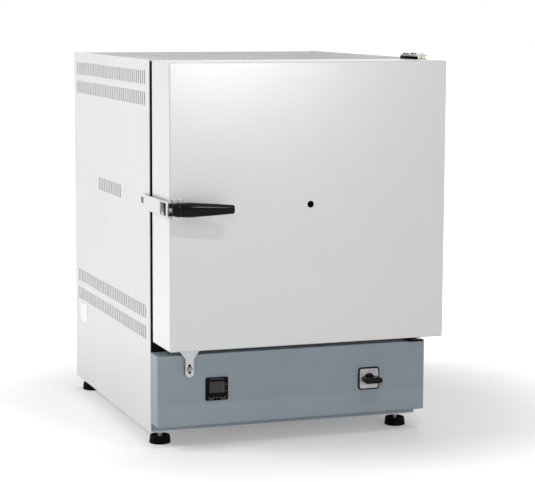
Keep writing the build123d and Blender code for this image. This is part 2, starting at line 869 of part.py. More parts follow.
with BuildPart() as cable_gland:
    with BuildSketch(gland_plane):
        with Locations((-gland_place[0], gland_place[1])):
            RegularPolygon(gland_flange_radius, 6)
    extrude(amount=6)
    with BuildSketch(rear_plane(rear_y + 6)):
        with Locations((-gland_place[0], gland_place[1])):
            Circle(gland_flange_radius - 3)
    extrude(amount=gland_reach - 6, taper=12)
    with BuildSketch(gland_plane):
        with Locations((-gland_place[0], gland_place[1])):
            Circle(gland_thread_radius)
    extrude(amount=-14)
    with BuildSketch(rear_plane(rear_y - skin)):
        with Locations((-gland_place[0], gland_place[1])):
            RegularPolygon(gland_flange_radius - 1, 6)
    extrude(amount=-5)
    with BuildSketch(rear_plane(rear_y - 14)):
        with Locations((-gland_place[0], gland_place[1])):
            Circle(gland_bore)
    extrude(amount=14 + gland_reach, mode=Mode.SUBTRACT)
finish(cable_gland, "cable_gland")

# ---------------------------------------------------------------- levelling feet
with BuildPart() as levelling_feet:
    with BuildSketch(Plane.XY):
        with Locations(*foot_places):
            Circle(foot_radius)
    extrude(amount=foot_height, taper=degrees(atan((foot_radius - foot_top_radius) / foot_height)))
    with BuildSketch(Plane.XY.offset(foot_height)):
        with Locations(*foot_places):
            Circle(foot_top_radius - 4)
    extrude(amount=-4, mode=Mode.SUBTRACT)
    with BuildSketch(Plane.XY.offset(foot_height - 4)):
        with Locations(*foot_places):
            Circle(stud_radius)
    extrude(amount=-6, mode=Mode.SUBTRACT)
finish(levelling_feet, "levelling_feet")

stud_foot_z = foot_height - 10

with BuildPart() as foot_studs:
    with BuildSketch(Plane.XY.offset(stud_foot_z)):
        with Locations(*foot_places):
            Circle(stud_radius)
    extrude(amount=base_z + skin + nut_height + 4 - stud_foot_z)
finish(foot_studs, "foot_studs")

with BuildPart() as foot_nuts:
    with BuildSketch(Plane.XY.offset(base_z - nut_height)):
        with Locations(*foot_places):
            RegularPolygon(nut_across_flats / 2, 6, major_radius=False)
            Circle(stud_radius, mode=Mode.SUBTRACT)
    extrude(amount=nut_height)
    with BuildSketch(Plane.XY.offset(base_z + skin)):
        with Locations(*foot_places):
            RegularPolygon(nut_across_flats / 2, 6, major_radius=False)
            Circle(stud_radius, mode=Mode.SUBTRACT)
    extrude(amount=nut_height)
finish(foot_nuts, "foot_nuts")

# ---------------------------------------------------------------- hinges
with BuildPart() as upper_hinge_plate:
    with BuildSketch(Plane.XY.offset(hinge_plate_low)):
        with Locations((hinge_plate_mid_x, span(hinge_y - hinge_plate_nose, front_y + hinge_seat_rear))):
            RectangleRounded(hinge_plate_width, hinge_axis_front + hinge_plate_nose + hinge_seat_rear, 3)
        with Locations(*hinge_screw_places):
            Circle(hinge_screw_radius, mode=Mode.SUBTRACT)
        with Locations((hinge_x, hinge_y)):
            Circle(hinge_pin_radius, mode=Mode.SUBTRACT)
    extrude(amount=hinge_plate_thickness)
finish(upper_hinge_plate, "upper_hinge_plate")

bracket_low = panel_top + 0.5
lower_plate_top = bracket_low + lower_bracket_thickness
lower_bracket_left = hinge_plate_right - lower_bracket_width
lower_screw_height = bracket_low + 20
lower_leg_screws = [
    (lower_bracket_left + 8, lower_screw_height),
    (hinge_plate_right - 8, lower_screw_height),
]

with BuildPart() as lower_hinge_bracket:
    with BuildSketch(Plane.YZ.offset(lower_bracket_left)):
        with BuildLine():
            FilletPolyline(
                (hinge_y - hinge_plate_nose, bracket_low + lower_bracket_thickness / 2),
                (frame_front - lower_bracket_thickness / 2, bracket_low + lower_bracket_thickness / 2),
                (frame_front - lower_bracket_thickness / 2, bracket_low + lower_bracket_leg),
                radius=lower_bracket_thickness,
            )
        trace(line_width=lower_bracket_thickness)
    extrude(amount=lower_bracket_width)
    with BuildSketch(Plane.XY.offset(bracket_low)):
        with Locations((hinge_x, hinge_y)):
            Circle(hinge_pin_radius)
    extrude(amount=lower_bracket_thickness, mode=Mode.SUBTRACT)
    with BuildSketch(front_plane(frame_front)):
        with Locations(*lower_leg_screws):
            Circle(hinge_screw_radius)
    extrude(amount=lower_bracket_thickness, mode=Mode.SUBTRACT)
finish(lower_hinge_bracket, "lower_hinge_bracket")

bolt_head_height = 4.5
bolt_head_flats = 10.5
pin_engagement = 24
upper_gap_low = door_top + bush_flange_thickness + seat_gap
lower_gap_high = door_bottom - bush_flange_thickness - seat_gap

with BuildPart() as hinge_pins:
    with BuildSketch(Plane.XY.offset(hinge_plate_low + hinge_plate_thickness)):
        with Locations((hinge_x, hinge_y)):
            RegularPolygon(bolt_head_flats / 2, 6, major_radius=False)
    extrude(amount=bolt_head_height)
    with BuildSketch(Plane.XY.offset(hinge_plate_low + hinge_plate_thickness)):
        with Locations((hinge_x, hinge_y)):
            Circle(hinge_pin_radius)
    extrude(amount=-(hinge_plate_rise + hinge_plate_thickness + pin_engagement))
    with BuildSketch(Plane.XY.offset(upper_gap_low)):
        with Locations((hinge_x, hinge_y)):
            Circle(collar_radius)
    extrude(amount=hinge_plate_low - upper_gap_low)
    with BuildSketch(Plane.XY.offset(bracket_low)):
        with Locations((hinge_x, hinge_y)):
            Circle(hinge_pin_radius)
    extrude(amount=door_bottom + pin_engagement - bracket_low)
    with BuildSketch(Plane.XY.offset(lower_plate_top)):
        with Locations((hinge_x, hinge_y)):
            Circle(collar_radius)
    extrude(amount=lower_gap_high - lower_plate_top)
finish(hinge_pins, "hinge_pins")

screw_head_radius = 3.2
screw_head_height = 3
keeper_head_radius = 6.5
screw_socket_radius = 2.6

with BuildPart() as casing_screws:
    with BuildSketch(Plane.XY.offset(hinge_plate_low + hinge_plate_thickness)):
        with Locations(*hinge_screw_places):
            Circle(screw_head_radius)
    extrude(amount=screw_head_height)
    with BuildSketch(Plane.XY.offset(cover_z)):
        with Locations(*hinge_screw_places):
            Circle(hinge_screw_radius)
    extrude(amount=hinge_plate_low + hinge_plate_thickness - cover_z)
    with BuildSketch(front_plane(frame_front - lower_bracket_thickness)):
        with Locations(*lower_leg_screws):
            Circle(screw_head_radius)
    extrude(amount=2)
    with BuildSketch(front_plane(frame_front - lower_bracket_thickness)):
        with Locations(*lower_leg_screws):
            Circle(hinge_screw_radius)
    extrude(amount=-lower_bracket_thickness)
    with BuildSketch(Plane.XY.offset(panel_bottom)):
        with Locations(*panel_screw_places):
            Circle(2 * panel_screw_radius)
    extrude(amount=-1)
    with BuildSketch(Plane.XY.offset(panel_bottom)):
        with Locations(*panel_screw_places):
            Circle(panel_screw_radius)
    extrude(amount=8)
    with BuildSketch(Plane.XY.offset(panel_top)):
        with Locations(*panel_screw_places):
            Circle(2 * panel_screw_radius)
    extrude(amount=1)
    with BuildSketch(Plane.XY.offset(panel_top)):
        with Locations(*panel_screw_places):
            Circle(panel_screw_radius)
    extrude(amount=-8)
    with BuildSketch(Plane.YZ.offset(left_x - keeper_thickness)):
        with Locations((keeper_screw_y, door_mid_z)):
            Circle(keeper_screw_radius)
    extrude(amount=keeper_thickness + skin + 5)
    with BuildSketch(Plane.YZ.offset(left_x - keeper_thickness)):
        with Locations((keeper_screw_y, door_mid_z)):
            Circle(keeper_head_radius)
    extrude(amount=-2.5)
    with BuildSketch(Plane.YZ.offset(left_x - keeper_thickness - 2.5)):
        with Locations((keeper_screw_y, door_mid_z)):
            RegularPolygon(screw_socket_radius, 6)
    extrude(amount=1.8, mode=Mode.SUBTRACT)
finish(casing_screws, "casing_screws")

# ---------------------------------------------------------------- keeper strap on the casing side
keeper_front = door_front_y - keeper_bar_front
keeper_window_front = keeper_front + keeper_bar
keeper_mid = keeper_standoff + keeper_thickness / 2

with BuildPart() as keeper_strap:
    with BuildSketch(Plane.XY.offset(door_mid_z - keeper_height / 2)):
        with BuildLine():
            FilletPolyline(
                (left_x - keeper_thickness / 2, front_y + keeper_seat_start + keeper_seat),
                (left_x - keeper_thickness / 2, front_y + keeper_seat_start),
                (left_x - keeper_mid, front_y + keeper_seat_start - 12),
                (left_x - keeper_mid, keeper_front),
                radius=5,
            )
        trace(line_width=keeper_thickness)
    extrude(amount=keeper_height)
    with BuildSketch(Plane.YZ.offset(left_x - keeper_reach)):
        with Locations((keeper_window_front + keeper_window_length / 2, door_mid_z)):
            Rectangle(keeper_window_length, keeper_window_height)
    extrude(amount=keeper_thickness, mode=Mode.SUBTRACT)
    with BuildSketch(Plane.YZ.offset(left_x - keeper_thickness)):
        with Locations((keeper_screw_y, door_mid_z)):
            Circle(keeper_screw_radius)
    extrude(amount=keeper_thickness, mode=Mode.SUBTRACT)
    end_edges = keeper_strap.edges().filter_by(Axis.X).sort_by(Axis.Y)
    fillet(end_edges[:2], radius=3)
finish(keeper_strap, "keeper_strap")

# ---------------------------------------------------------------- door
bracket_screw_radius = 2
bracket_left = door_left + door_edge_radius
bracket_screw_xs = (bracket_left + 4, bracket_left + 17)
bracket_screw_rise = 15.8
bracket_screw_zs = (door_mid_z - bracket_screw_rise, door_mid_z + bracket_screw_rise)
bracket_screw_places = [(x, z) for x in bracket_screw_xs for z in bracket_screw_zs]
tab_flange_depth = 40
tab_rear_y = panel_front_y - tab_plane
tab_screw_radius = 2.5
tab_screw_places = [(tab_centre_x - 18, tab_rear_y - 26), (tab_centre_x + 18, tab_rear_y - 26)]
plug_base_width = chamber_width - 2 * plug_clearance + 2 * plug_flare
plug_base_height = chamber_height - 2 * plug_clearance + 2 * plug_flare

with BuildPart() as door_shell:
    with BuildSketch(front_plane(door_rear_y)):
        with Locations((mid_x, door_mid_z)):
            RectangleRounded(door_width, door_height, door_edge_radius)
    extrude(amount=door_thickness)
    fillet(door_shell.faces().sort_by(Axis.Y)[0].edges(), radius=door_edge_radius * 0.95)
    offset(amount=-skin, openings=door_shell.faces().sort_by(Axis.Y)[-1])
    with BuildSketch(front_plane(door_rear_y)):
        with Locations((mid_x, door_mid_z)):
            Rectangle(door_width - 2 * skin, door_height - 2 * skin)
            Rectangle(
                door_width - 2 * door_flange, door_height - 2 * door_flange, mode=Mode.SUBTRACT
            )
    extrude(amount=skin)
    with BuildSketch(front_plane(door_front_y + skin)):
        with Locations((mid_x, door_mid_z)):
            Circle(peep_radius)
        with Locations(*bracket_screw_places):
            Circle(bracket_screw_radius)
    extrude(amount=skin, mode=Mode.SUBTRACT)
    with BuildSketch(Plane.XY.offset(door_bottom)):
        with Locations((hinge_x, hinge_y)):
            Circle(bush_radius)
    extrude(amount=door_height, mode=Mode.SUBTRACT)
    with BuildSketch(Plane.XY.offset(door_bottom)):
        with Locations(*tab_screw_places):
            Circle(tab_screw_radius)
    extrude(amount=skin, mode=Mode.SUBTRACT)
finish(door_shell, "door_shell")

plate_rear_y = door_rear_y - skin
plate_front_y = plate_rear_y - skin

with BuildPart() as door_back_plate:
    with BuildSketch(front_plane(plate_rear_y)):
        with Locations((mid_x, door_mid_z)):
            Rectangle(door_width - 2 * skin - 2, door_height - 2 * skin - 2)
            Rectangle(plug_base_width + 0.6, plug_base_height + 0.6, mode=Mode.SUBTRACT)
    extrude(amount=skin)
    with BuildSketch(Plane.XY.offset(door_bottom)):
        with Locations((hinge_x, hinge_y)):
            Circle(bush_radius)
    extrude(amount=door_height, mode=Mode.SUBTRACT)
finish(door_back_plate, "door_back_plate")

peep_outer = peep_radius + peep_tube_wall
fill_clearance = 0.3

with BuildPart() as door_insulation:
    with BuildSketch(front_plane(plate_front_y)):
        with Locations((mid_x, door_mid_z)):
            RectangleRounded(
                door_width - 2 * skin - 2 * fill_clearance,
                door_height - 2 * skin - 2 * fill_clearance,
                door_edge_radius,
            )
    extrude(amount=door_thickness - 3 * skin - fill_clearance)
    chamfer(door_insulation.faces().sort_by(Axis.Y)[0].edges(), length=2)
    with BuildSketch(front_plane(plate_front_y)):
        with Locations((mid_x, door_mid_z)):
            Circle(peep_outer)
    extrude(amount=door_thickness, mode=Mode.SUBTRACT)
    with BuildSketch(Plane.XY.offset(door_bottom)):
        with Locations((hinge_x, hinge_y)):
            Circle(bush_radius)
    extrude(amount=bush_length + 2, mode=Mode.SUBTRACT)
    with BuildSketch(Plane.XY.offset(door_top)):
        with Locations((hinge_x, hinge_y)):
            Circle(bush_radius)
    extrude(amount=-(bush_length + 2), mode=Mode.SUBTRACT)
    with BuildSketch(Plane.XY.offset(door_bottom)):
        with Locations(*tab_screw_places):
            Circle(tab_screw_radius)
    extrude(amount=14, mode=Mode.SUBTRACT)
    with BuildSketch(front_plane(door_front_y)):
        with Locations(*bracket_screw_places):
            Circle(bracket_screw_radius)
    extrude(amount=-16, mode=Mode.SUBTRACT)
finish(door_insulation, "door_insulation")

plug_rear_y = door_rear_y + plug_depth

with BuildPart() as door_plug:
    with BuildSketch(front_plane(plate_front_y)):
        with Locations((mid_x, door_mid_z)):
            Rectangle(plug_base_width, plug_base_height)
    with BuildSketch(front_plane(plug_rear_y)):
        with Locations((mid_x, door_mid_z)):
            Rectangle(chamber_width - 2 * plug_clearance, chamber_height - 2 * plug_clearance)
    loft()
    with BuildSketch(front_plane(plug_rear_y)):
        with Locations((mid_x, door_mid_z)):
            Circle(peep_outer)
    extrude(amount=plug_rear_y - plate_front_y, mode=Mode.SUBTRACT)
finish(door_plug, "door_plug")

gasket_inner_width = plug_base_width + 12
gasket_inner_height = plug_base_height + 12
gasket_thickness = frame_front - seat_gap - plate_rear_y

with BuildPart() as door_gasket:
    with BuildSketch(front_plane(frame_front - seat_gap)):
        with Locations((mid_x, door_mid_z)):
            RectangleRounded(
                gasket_inner_width + 2 * gasket_width, gasket_inner_height + 2 * gasket_width, 26
            )
            RectangleRounded(gasket_inner_width, gasket_inner_height, 6, mode=Mode.SUBTRACT)
    extrude(amount=gasket_thickness)
    chamfer(door_gasket.faces().sort_by(Axis.Y)[-1].edges(), length=6)
finish(door_gasket, "door_gasket")

with BuildPart() as peep_tube:
    with BuildSketch(front_plane(plug_rear_y)):
        with Locations((mid_x, door_mid_z)):
            Circle(peep_outer)
            Circle(peep_radius, mode=Mode.SUBTRACT)
    extrude(amount=plug_rear_y - door_front_y - skin)
finish(peep_tube, "peep_tube")

with BuildPart() as door_bushes:
    for edge_z, into_door in ((door_top, -1), (door_bottom, 1)):
        with BuildSketch(Plane.XY.offset(edge_z)):
            with Locations((hinge_x, hinge_y)):
                Circle(bush_radius)
                Circle(hinge_pin_radius + running_clearance, mode=Mode.SUBTRACT)
        extrude(amount=into_door * bush_length)
        with BuildSketch(Plane.XY.offset(edge_z)):
            with Locations((hinge_x, hinge_y)):
                Circle(bush_flange_radius)
                Circle(hinge_pin_radius + running_clearance, mode=Mode.SUBTRACT)
        extrude(amount=-into_door * bush_flange_thickness)
finish(door_bushes, "door_bushes")

# ---------------------------------------------------------------- interlock tab under the door
tab_tip_z = door_bottom - tab_reach
tab_tip_radius = tab_tip_width / 2
tab_shoulder_z = tab_tip_z + 38
tab_flange_width = tab_top_width + 12

with BuildPart() as switch_tab:
    with BuildSketch(front_plane(tab_rear_y)):
        with BuildLine():
            Polyline(
                (tab_centre_x - tab_tip_radius, tab_tip_z + tab_tip_radius),
                (tab_centre_x - tab_tip_radius, tab_shoulder_z),
                (tab_centre_x - tab_top_width / 2, tab_shoulder_z + 20),
                (tab_centre_x - tab_flange_width / 2, door_bottom - tab_thickness),
                (tab_centre_x + tab_flange_width / 2, door_bottom - tab_thickness),
                (tab_centre_x + tab_top_width / 2, tab_shoulder_z + 20),
                (tab_centre_x + tab_tip_radius, tab_shoulder_z),
                (tab_centre_x + tab_tip_radius, tab_tip_z + tab_tip_radius),
            )
            ThreePointArc(
                (tab_centre_x + tab_tip_radius, tab_tip_z + tab_tip_radius),
                (tab_centre_x, tab_tip_z),
                (tab_centre_x - tab_tip_radius, tab_tip_z + tab_tip_radius),
            )
        make_face()
        with Locations(actuator_centre):
            SlotOverall(tab_slot_length, tab_slot_width, rotation=90, mode=Mode.SUBTRACT)
    extrude(amount=tab_thickness)
    with BuildSketch(Plane.XY.offset(door_bottom)):
        with Locations((tab_centre_x, tab_rear_y - tab_flange_depth / 2)):
            Rectangle(tab_flange_width, tab_flange_depth)
        with Locations(*tab_screw_places):
            Circle(tab_screw_radius, mode=Mode.SUBTRACT)
    extrude(amount=-tab_thickness)
finish(switch_tab, "switch_tab")

tab_front_y = tab_rear_y - tab_thickness
washer_radius = 5.8
washer_thickness = 1

with BuildPart() as actuator_bolt:
    with BuildSketch(front_plane(tab_front_y)):
        with Locations(actuator_centre):
            Circle(washer_radius)
    extrude(amount=washer_thickness)
    with BuildSketch(front_plane(tab_front_y - washer_thickness)):
        with Locations(actuator_centre):
            Circle(actuator_radius + 1.8)
    extrude(amount=3)
    chamfer(actuator_bolt.faces().sort_by(Axis.Y)[0].edges(), length=0.8)
    with BuildSketch(front_plane(tab_rear_y)):
        with Locations(actuator_centre):
            RegularPolygon(5, 6, major_radius=False)
    extrude(amount=-1.8)
    with BuildSketch(front_plane(tab_front_y)):
        with Locations(actuator_centre):
            Circle(actuator_radius)
    extrude(amount=-(actuator_tip_y - tab_front_y))
finish(actuator_bolt, "actuator_bolt")

with BuildPart() as door_screws:
    with BuildSketch(Plane.XY.offset(door_bottom - tab_thickness)):
        with Locations(*tab_screw_places):
            Circle(2 * tab_screw_radius)
    extrude(amount=-2)
    with BuildSketch(Plane.XY.offset(door_bottom - tab_thickness)):
        with Locations(*tab_screw_places):
            Circle(tab_screw_radius)
    extrude(amount=10)
    with BuildSketch(front_plane(door_front_y - bracket_thickness)):
        with Locations(*bracket_screw_places):
            Circle(bracket_screw_radius * 1.7)
    extrude(amount=2.4)
    with BuildSketch(front_plane(door_front_y - bracket_thickness)):
        with Locations(*bracket_screw_places):
            Circle(bracket_screw_radius)
    extrude(amount=-12)
finish(door_screws, "door_screws")

# ---------------------------------------------------------------- latch
tongue_right = latch_x + tongue_radius
cheek_gap = tongue_height / 2 + seat_gap

with BuildPart() as latch_bracket:
    with BuildSketch(front_plane(door_front_y)):
        with Locations((bracket_left + bracket_width / 2, door_mid_z)):
            Rectangle(bracket_width, bracket_height)
        with Locations(*bracket_screw_places):
            Circle(bracket_screw_radius, mode=Mode.SUBTRACT)
    extrude(amount=bracket_thickness)
    with BuildSketch(Plane.XY.offset(door_mid_z - tongue_height / 2)):
        with BuildLine():
            Polyline(
                (latch_x - tongue_radius, latch_y),
                (bracket_left, door_front_y - bracket_thickness),
                (bracket_left, door_front_y),
                (tongue_right, door_front_y),
                (tongue_right, latch_y),
            )
            ThreePointArc(
                (tongue_right, latch_y), (latch_x, latch_y - tongue_radius), (latch_x - tongue_radius, latch_y)
            )
        make_face()
        with Locations((latch_x, latch_y)):
            Circle(latch_pin_radius, mode=Mode.SUBTRACT)
    extrude(amount=tongue_height)
finish(latch_bracket, "latch_bracket")

latch_pin_length = 20

with BuildPart() as latch_pin:
    with BuildSketch(Plane.XY.offset(door_mid_z - latch_pin_length / 2)):
        with Locations((latch_x, latch_y)):
            Circle(latch_pin_radius)
    extrude(amount=latch_pin_length)
finish(latch_pin, "latch_pin")

pawl_height = keeper_window_height - 2
pawl_plane_z = door_mid_z - pawl_height / 2
clamp_turn = radians(handle_clamp_turn)
clamped = Plane(
    origin=(latch_x, latch_y, pawl_plane_z),
    x_dir=(cos(clamp_turn), -sin(clamp_turn), 0),
    z_dir=(0, 0, 1),
)
keeper_side = -(latch_axis_inset + keeper_standoff)
notch_x = keeper_side + seat_gap + 0.1
tip_x = keeper_side - pawl_grip
pawl_front = keeper_window_front - latch_y + seat_gap
tip_rear = sqrt(pawl_radius**2 - tip_x**2)
crown_x = -3
crown_y = sqrt(pawl_radius**2 - crown_x**2)
notch_y = 3

along_grip = (cos(grip_angle), -sin(grip_angle), 0)
grip_line = Axis((latch_x, latch_y, door_mid_z), along_grip)
grip_profile_plane = Plane(
    origin=(latch_x, latch_y, door_mid_z), x_dir=along_grip, z_dir=(sin(grip_angle), cos(grip_angle), 0)
)
swept_by_tongue = Plane(
    origin=(latch_x, latch_y, door_mid_z - cheek_gap), x_dir=along_grip, z_dir=(0, 0, 1)
)
tongue_clear = tongue_radius + seat_gap + 0.1
shank_radius = 6
shank_end = grip_start + 40

with BuildPart() as handle_lever:
    with BuildSketch(grip_profile_plane):
        with BuildLine():
            Polyline(
                (-hub_radius, 0),
                (-hub_radius, 3),
                (-9, 7),
                (-3, 11),
                (grip_start - 4, grip_start_radius),
                (grip_start, grip_start_radius),
                (grip_start, shank_radius),
                (shank_end, shank_radius),
                (shank_end, 0),
                close=True,
            )
        make_face()
    revolve(axis=grip_line)
    with BuildSketch(clamped):
        with BuildLine():
            Polyline(
                (tip_x, tip_rear),
                (tip_x, pawl_front),
                (notch_x, pawl_front),
                (notch_x, notch_y),
                (0, 0),
                (2, hub_radius - 1),
                (crown_x, crown_y),
            )
            RadiusArc((crown_x, crown_y), (tip_x, tip_rear), -pawl_radius)
        make_face()
    extrude(amount=pawl_height)
    with BuildSketch(swept_by_tongue):
        Circle(tongue_clear)
        with BuildLine():
            Polyline(
                (tongue_clear, -2),
                (tongue_clear + 5.8, 20),
                (-26, 26),
                (-26, -12),
                (1.2, -tongue_clear - 0.3),
                close=True,
            )
        make_face()
    extrude(amount=2 * cheek_gap, mode=Mode.SUBTRACT)
    with BuildSketch(Plane.XY.offset(door_mid_z - pawl_height / 2)):
        with Locations((latch_x, latch_y)):
            Circle(latch_pin_radius + running_clearance)
    extrude(amount=pawl_height, mode=Mode.SUBTRACT)
finish(handle_lever, "handle_lever")

with BuildPart() as handle_grip:
    with BuildSketch(grip_profile_plane):
        with BuildLine():
            Polyline(
                (grip_start, shank_radius),
                (grip_start, grip_start_radius),
                (grip_belly, grip_belly_radius),
                (grip_end - 1, grip_end_radius),
                (grip_end, grip_end_radius - 1),
                (grip_end, 0),
                (shank_end, 0),
                (shank_end, shank_radius),
                close=True,
            )
        make_face()
    revolve(axis=grip_line)
finish(handle_grip, "handle_grip")

print("hinge axis", round(hinge_x, 3), round(hinge_y, 3))
print("latch axis", round(latch_x, 3), round(latch_y, 3), door_mid_z)
print("switch axis", round(switch_centre[0], 3), round(panel_front_y, 3), control_height)
print("chamber", round(chamber_left, 2), round(chamber_right, 2), chamber_floor, chamber_roof)
print("chamber depth", round(chamber_front, 2), round(chamber_rear, 2), "plug end", round(plug_rear_y, 2))
print("casing", round(left_x, 3), round(right_x, 3), round(front_y, 3), round(rear_y, 3), base_z, top_z)
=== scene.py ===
import json
import math

import bmesh
import bpy
from mathutils import Matrix, Vector


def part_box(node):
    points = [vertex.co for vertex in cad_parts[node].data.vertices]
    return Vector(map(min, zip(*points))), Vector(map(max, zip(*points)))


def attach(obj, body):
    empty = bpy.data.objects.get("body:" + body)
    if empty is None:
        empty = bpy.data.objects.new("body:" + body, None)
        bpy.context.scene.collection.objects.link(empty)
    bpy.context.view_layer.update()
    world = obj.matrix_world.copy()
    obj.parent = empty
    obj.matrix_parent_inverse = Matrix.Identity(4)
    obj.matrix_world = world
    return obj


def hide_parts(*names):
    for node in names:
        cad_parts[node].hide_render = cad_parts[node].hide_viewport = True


# muffle furnace: camera, finishes, finer pieces, room and lamps around the CAD nodes
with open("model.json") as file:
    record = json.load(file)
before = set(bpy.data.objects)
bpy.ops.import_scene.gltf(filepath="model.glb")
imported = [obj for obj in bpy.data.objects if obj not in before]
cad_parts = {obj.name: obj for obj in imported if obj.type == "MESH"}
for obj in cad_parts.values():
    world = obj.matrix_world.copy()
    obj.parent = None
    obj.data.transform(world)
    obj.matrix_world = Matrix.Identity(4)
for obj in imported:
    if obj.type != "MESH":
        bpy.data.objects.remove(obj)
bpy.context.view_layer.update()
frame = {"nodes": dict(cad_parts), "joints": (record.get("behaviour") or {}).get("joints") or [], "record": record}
nodes = frame["nodes"]
print("frame loaded:", len(nodes), "nodes")

mm = 0.001
jointPlace = {joint["name"]: Vector(joint.get("pos_m", (0, 0, 0))) for joint in frame["joints"]}
latchAxis = jointPlace["handle_swing"]
switchAxis = jointPlace["switch_turn"]

camera = {
    "fromCasing": (-1.03195, -3.60595),     # from the casing's front left edge
    "height": 0.9139,   # above the floor, in metres as the line above
    "yaw": 19.651,      # degrees from +Y towards +X
    "pitch": 7.332,     # downwards
    "roll": 0.223,
    "focal": 1843.15,   # in pixels of a render that is this wide
    "renderWidth": 535,
    "sensor": 36,       # mm
    "clip": (0.05, 100),
}


def addCamera(camera):
    data = bpy.data.cameras.new("frontCamera")
    data.sensor_width = camera["sensor"]
    data.lens = camera["focal"] * camera["sensor"] / camera["renderWidth"]
    data.clip_start, data.clip_end = camera["clip"]
    eye = bpy.data.objects.new("frontCamera", data)
    bpy.context.scene.collection.objects.link(eye)
    turn = Matrix.Rotation(math.radians(-camera["yaw"]), 4, "Z")
    turn = turn @ Matrix.Rotation(math.radians(90 - camera["pitch"]), 4, "X")
    turn = turn @ Matrix.Rotation(math.radians(camera["roll"]), 4, "Z")
    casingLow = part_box("left_side_panel")[0]
    awayX, awayY = camera["fromCasing"]
    place = Vector((casingLow.x + awayX, casingLow.y + awayY, camera["height"]))
    eye.matrix_world = Matrix.Translation(place) @ turn
    bpy.context.scene.camera = eye


addCamera(camera)
print("camera set")


# small helpers that the finishes share
def newMaterial(name):
    material = bpy.data.materials.new(name)
    material.use_nodes = True
    tree = material.node_tree
    return material, tree, tree.nodes["Principled BSDF"]


def addNode(tree, kind, **settings):
    node = tree.nodes.new(kind)
    for key, value in settings.items():
        setattr(node, key, value)
    return node


def objectPlace(tree, scale=(1, 1, 1)):
    coordinates = addNode(tree, "ShaderNodeTexCoord")
    mapping = addNode(tree, "ShaderNodeMapping")
    mapping.inputs["Scale"].default_value = scale
    tree.links.new(coordinates.outputs["Object"], mapping.inputs["Vector"])
    return mapping.outputs["Vector"]


def noise(tree, place, scale, detail=2.0, roughness=0.5):
    node = addNode(tree, "ShaderNodeTexNoise")
    node.inputs["Scale"].default_value = scale
    node.inputs["Detail"].default_value = detail
    node.inputs["Roughness"].default_value = roughness
    tree.links.new(place, node.inputs["Vector"])
    return node.outputs["Fac"]


def tones(tree, value, colour, stops):
    # each stop is a place on the ramp and how much of the colour shows there
    node = addNode(tree, "ShaderNodeValToRGB")
    elements = node.color_ramp.elements
    while len(elements) < len(stops):
        elements.new(0.5)
    for element, (at, share) in zip(elements, stops):
        element.position = at
        element.color = (*[min(1, channel * share) for channel in colour], 1)
    tree.links.new(value, node.inputs["Fac"])
    return node.outputs["Color"]


def spread(tree, value, low, high):
    node = addNode(tree, "ShaderNodeMapRange")
    node.inputs["To Min"].default_value = low
    node.inputs["To Max"].default_value = high
    tree.links.new(value, node.inputs["Value"])
    return node.outputs["Result"]


def spreadRoughness(tree, shader, value, roughness, span):
    result = spread(tree, value, roughness + span[0], roughness + span[1])
    tree.links.new(result, shader.inputs["Roughness"])


def bump(tree, shader, height, strength, distance, below=None):
    node = addNode(tree, "ShaderNodeBump")
    node.inputs["Strength"].default_value = strength
    node.inputs["Distance"].default_value = distance
    tree.links.new(height, node.inputs["Height"])
    if below is not None:
        tree.links.new(below, node.inputs["Normal"])
    tree.links.new(node.outputs["Normal"], shader.inputs["Normal"])
    return node.outputs["Normal"]


# one dictionary for each kind of finish: a noise is its scale, detail and roughness, a depth is in metres
paintLook = {
    "clouds": (5, 3), "cloudStops": (0.3, 0.7),
    "handling": (14, 4, 0.6), "roughnessSpan": (-0.05, 0.06),
    "coatRoughness": 0.25, "coatIor": 1.72,
    "orangePeel": (520, 2, 0.45), "peelDepth": 0.0004,
}


def paint(name, colour, roughness=0.38, peel=0.25, cloud=0.02, coat=0.15, gloss=0.5):
    material, tree, shader = newMaterial(name)
    place = objectPlace(tree)
    darkStop, paleStop = paintLook["cloudStops"]
    clouds = noise(tree, place, *paintLook["clouds"])
    tone = tones(tree, clouds, colour, [(darkStop, 1 - cloud), (paleStop, 1 + cloud)])
    tree.links.new(tone, shader.inputs["Base Color"])
    handling = noise(tree, place, *paintLook["handling"])
    spreadRoughness(tree, shader, handling, roughness, paintLook["roughnessSpan"])
    shader.inputs["Specular IOR Level"].default_value = gloss
    shader.inputs["Coat Weight"].default_value = coat
    shader.inputs["Coat Roughness"].default_value = paintLook["coatRoughness"]
    shader.inputs["Coat IOR"].default_value = paintLook["coatIor"]
    bump(tree, shader, noise(tree, place, *paintLook["orangePeel"]), peel, paintLook["peelDepth"])
    return material


platingLook = {
    "blotches": (30, 4, 0.6), "stops": [(0.3, 0.82), (0.55, 1), (0.8, 1.14)],
    "roughnessSpan": (-0.08, 0.12), "grain": (900, 2), "grainStrength": 0.12, "grainDepth": 0.0002,
}


def platedSteel(name, colour, roughness=0.34, metallic=0.9):
    material, tree, shader = newMaterial(name)
    place = objectPlace(tree)
    blotches = noise(tree, place, *platingLook["blotches"])
    tree.links.new(tones(tree, blotches, colour, platingLook["stops"]), shader.inputs["Base Color"])
    shader.inputs["Metallic"].default_value = metallic
    spreadRoughness(tree, shader, blotches, roughness, platingLook["roughnessSpan"])
    grain = noise(tree, place, *platingLook["grain"])
    bump(tree, shader, grain, platingLook["grainStrength"], platingLook["grainDepth"])
    return material


sheetLook = {
    "spangleScale": 70, "stops": [(0.0, 0.8), (1.0, 1.15)], "metallic": 0.85,
    "wear": (40, 3), "roughnessSpan": (-0.1, 0.1),
    "rolling": (300, 3), "rollingStrength": 0.1, "rollingDepth": 0.0003,
}


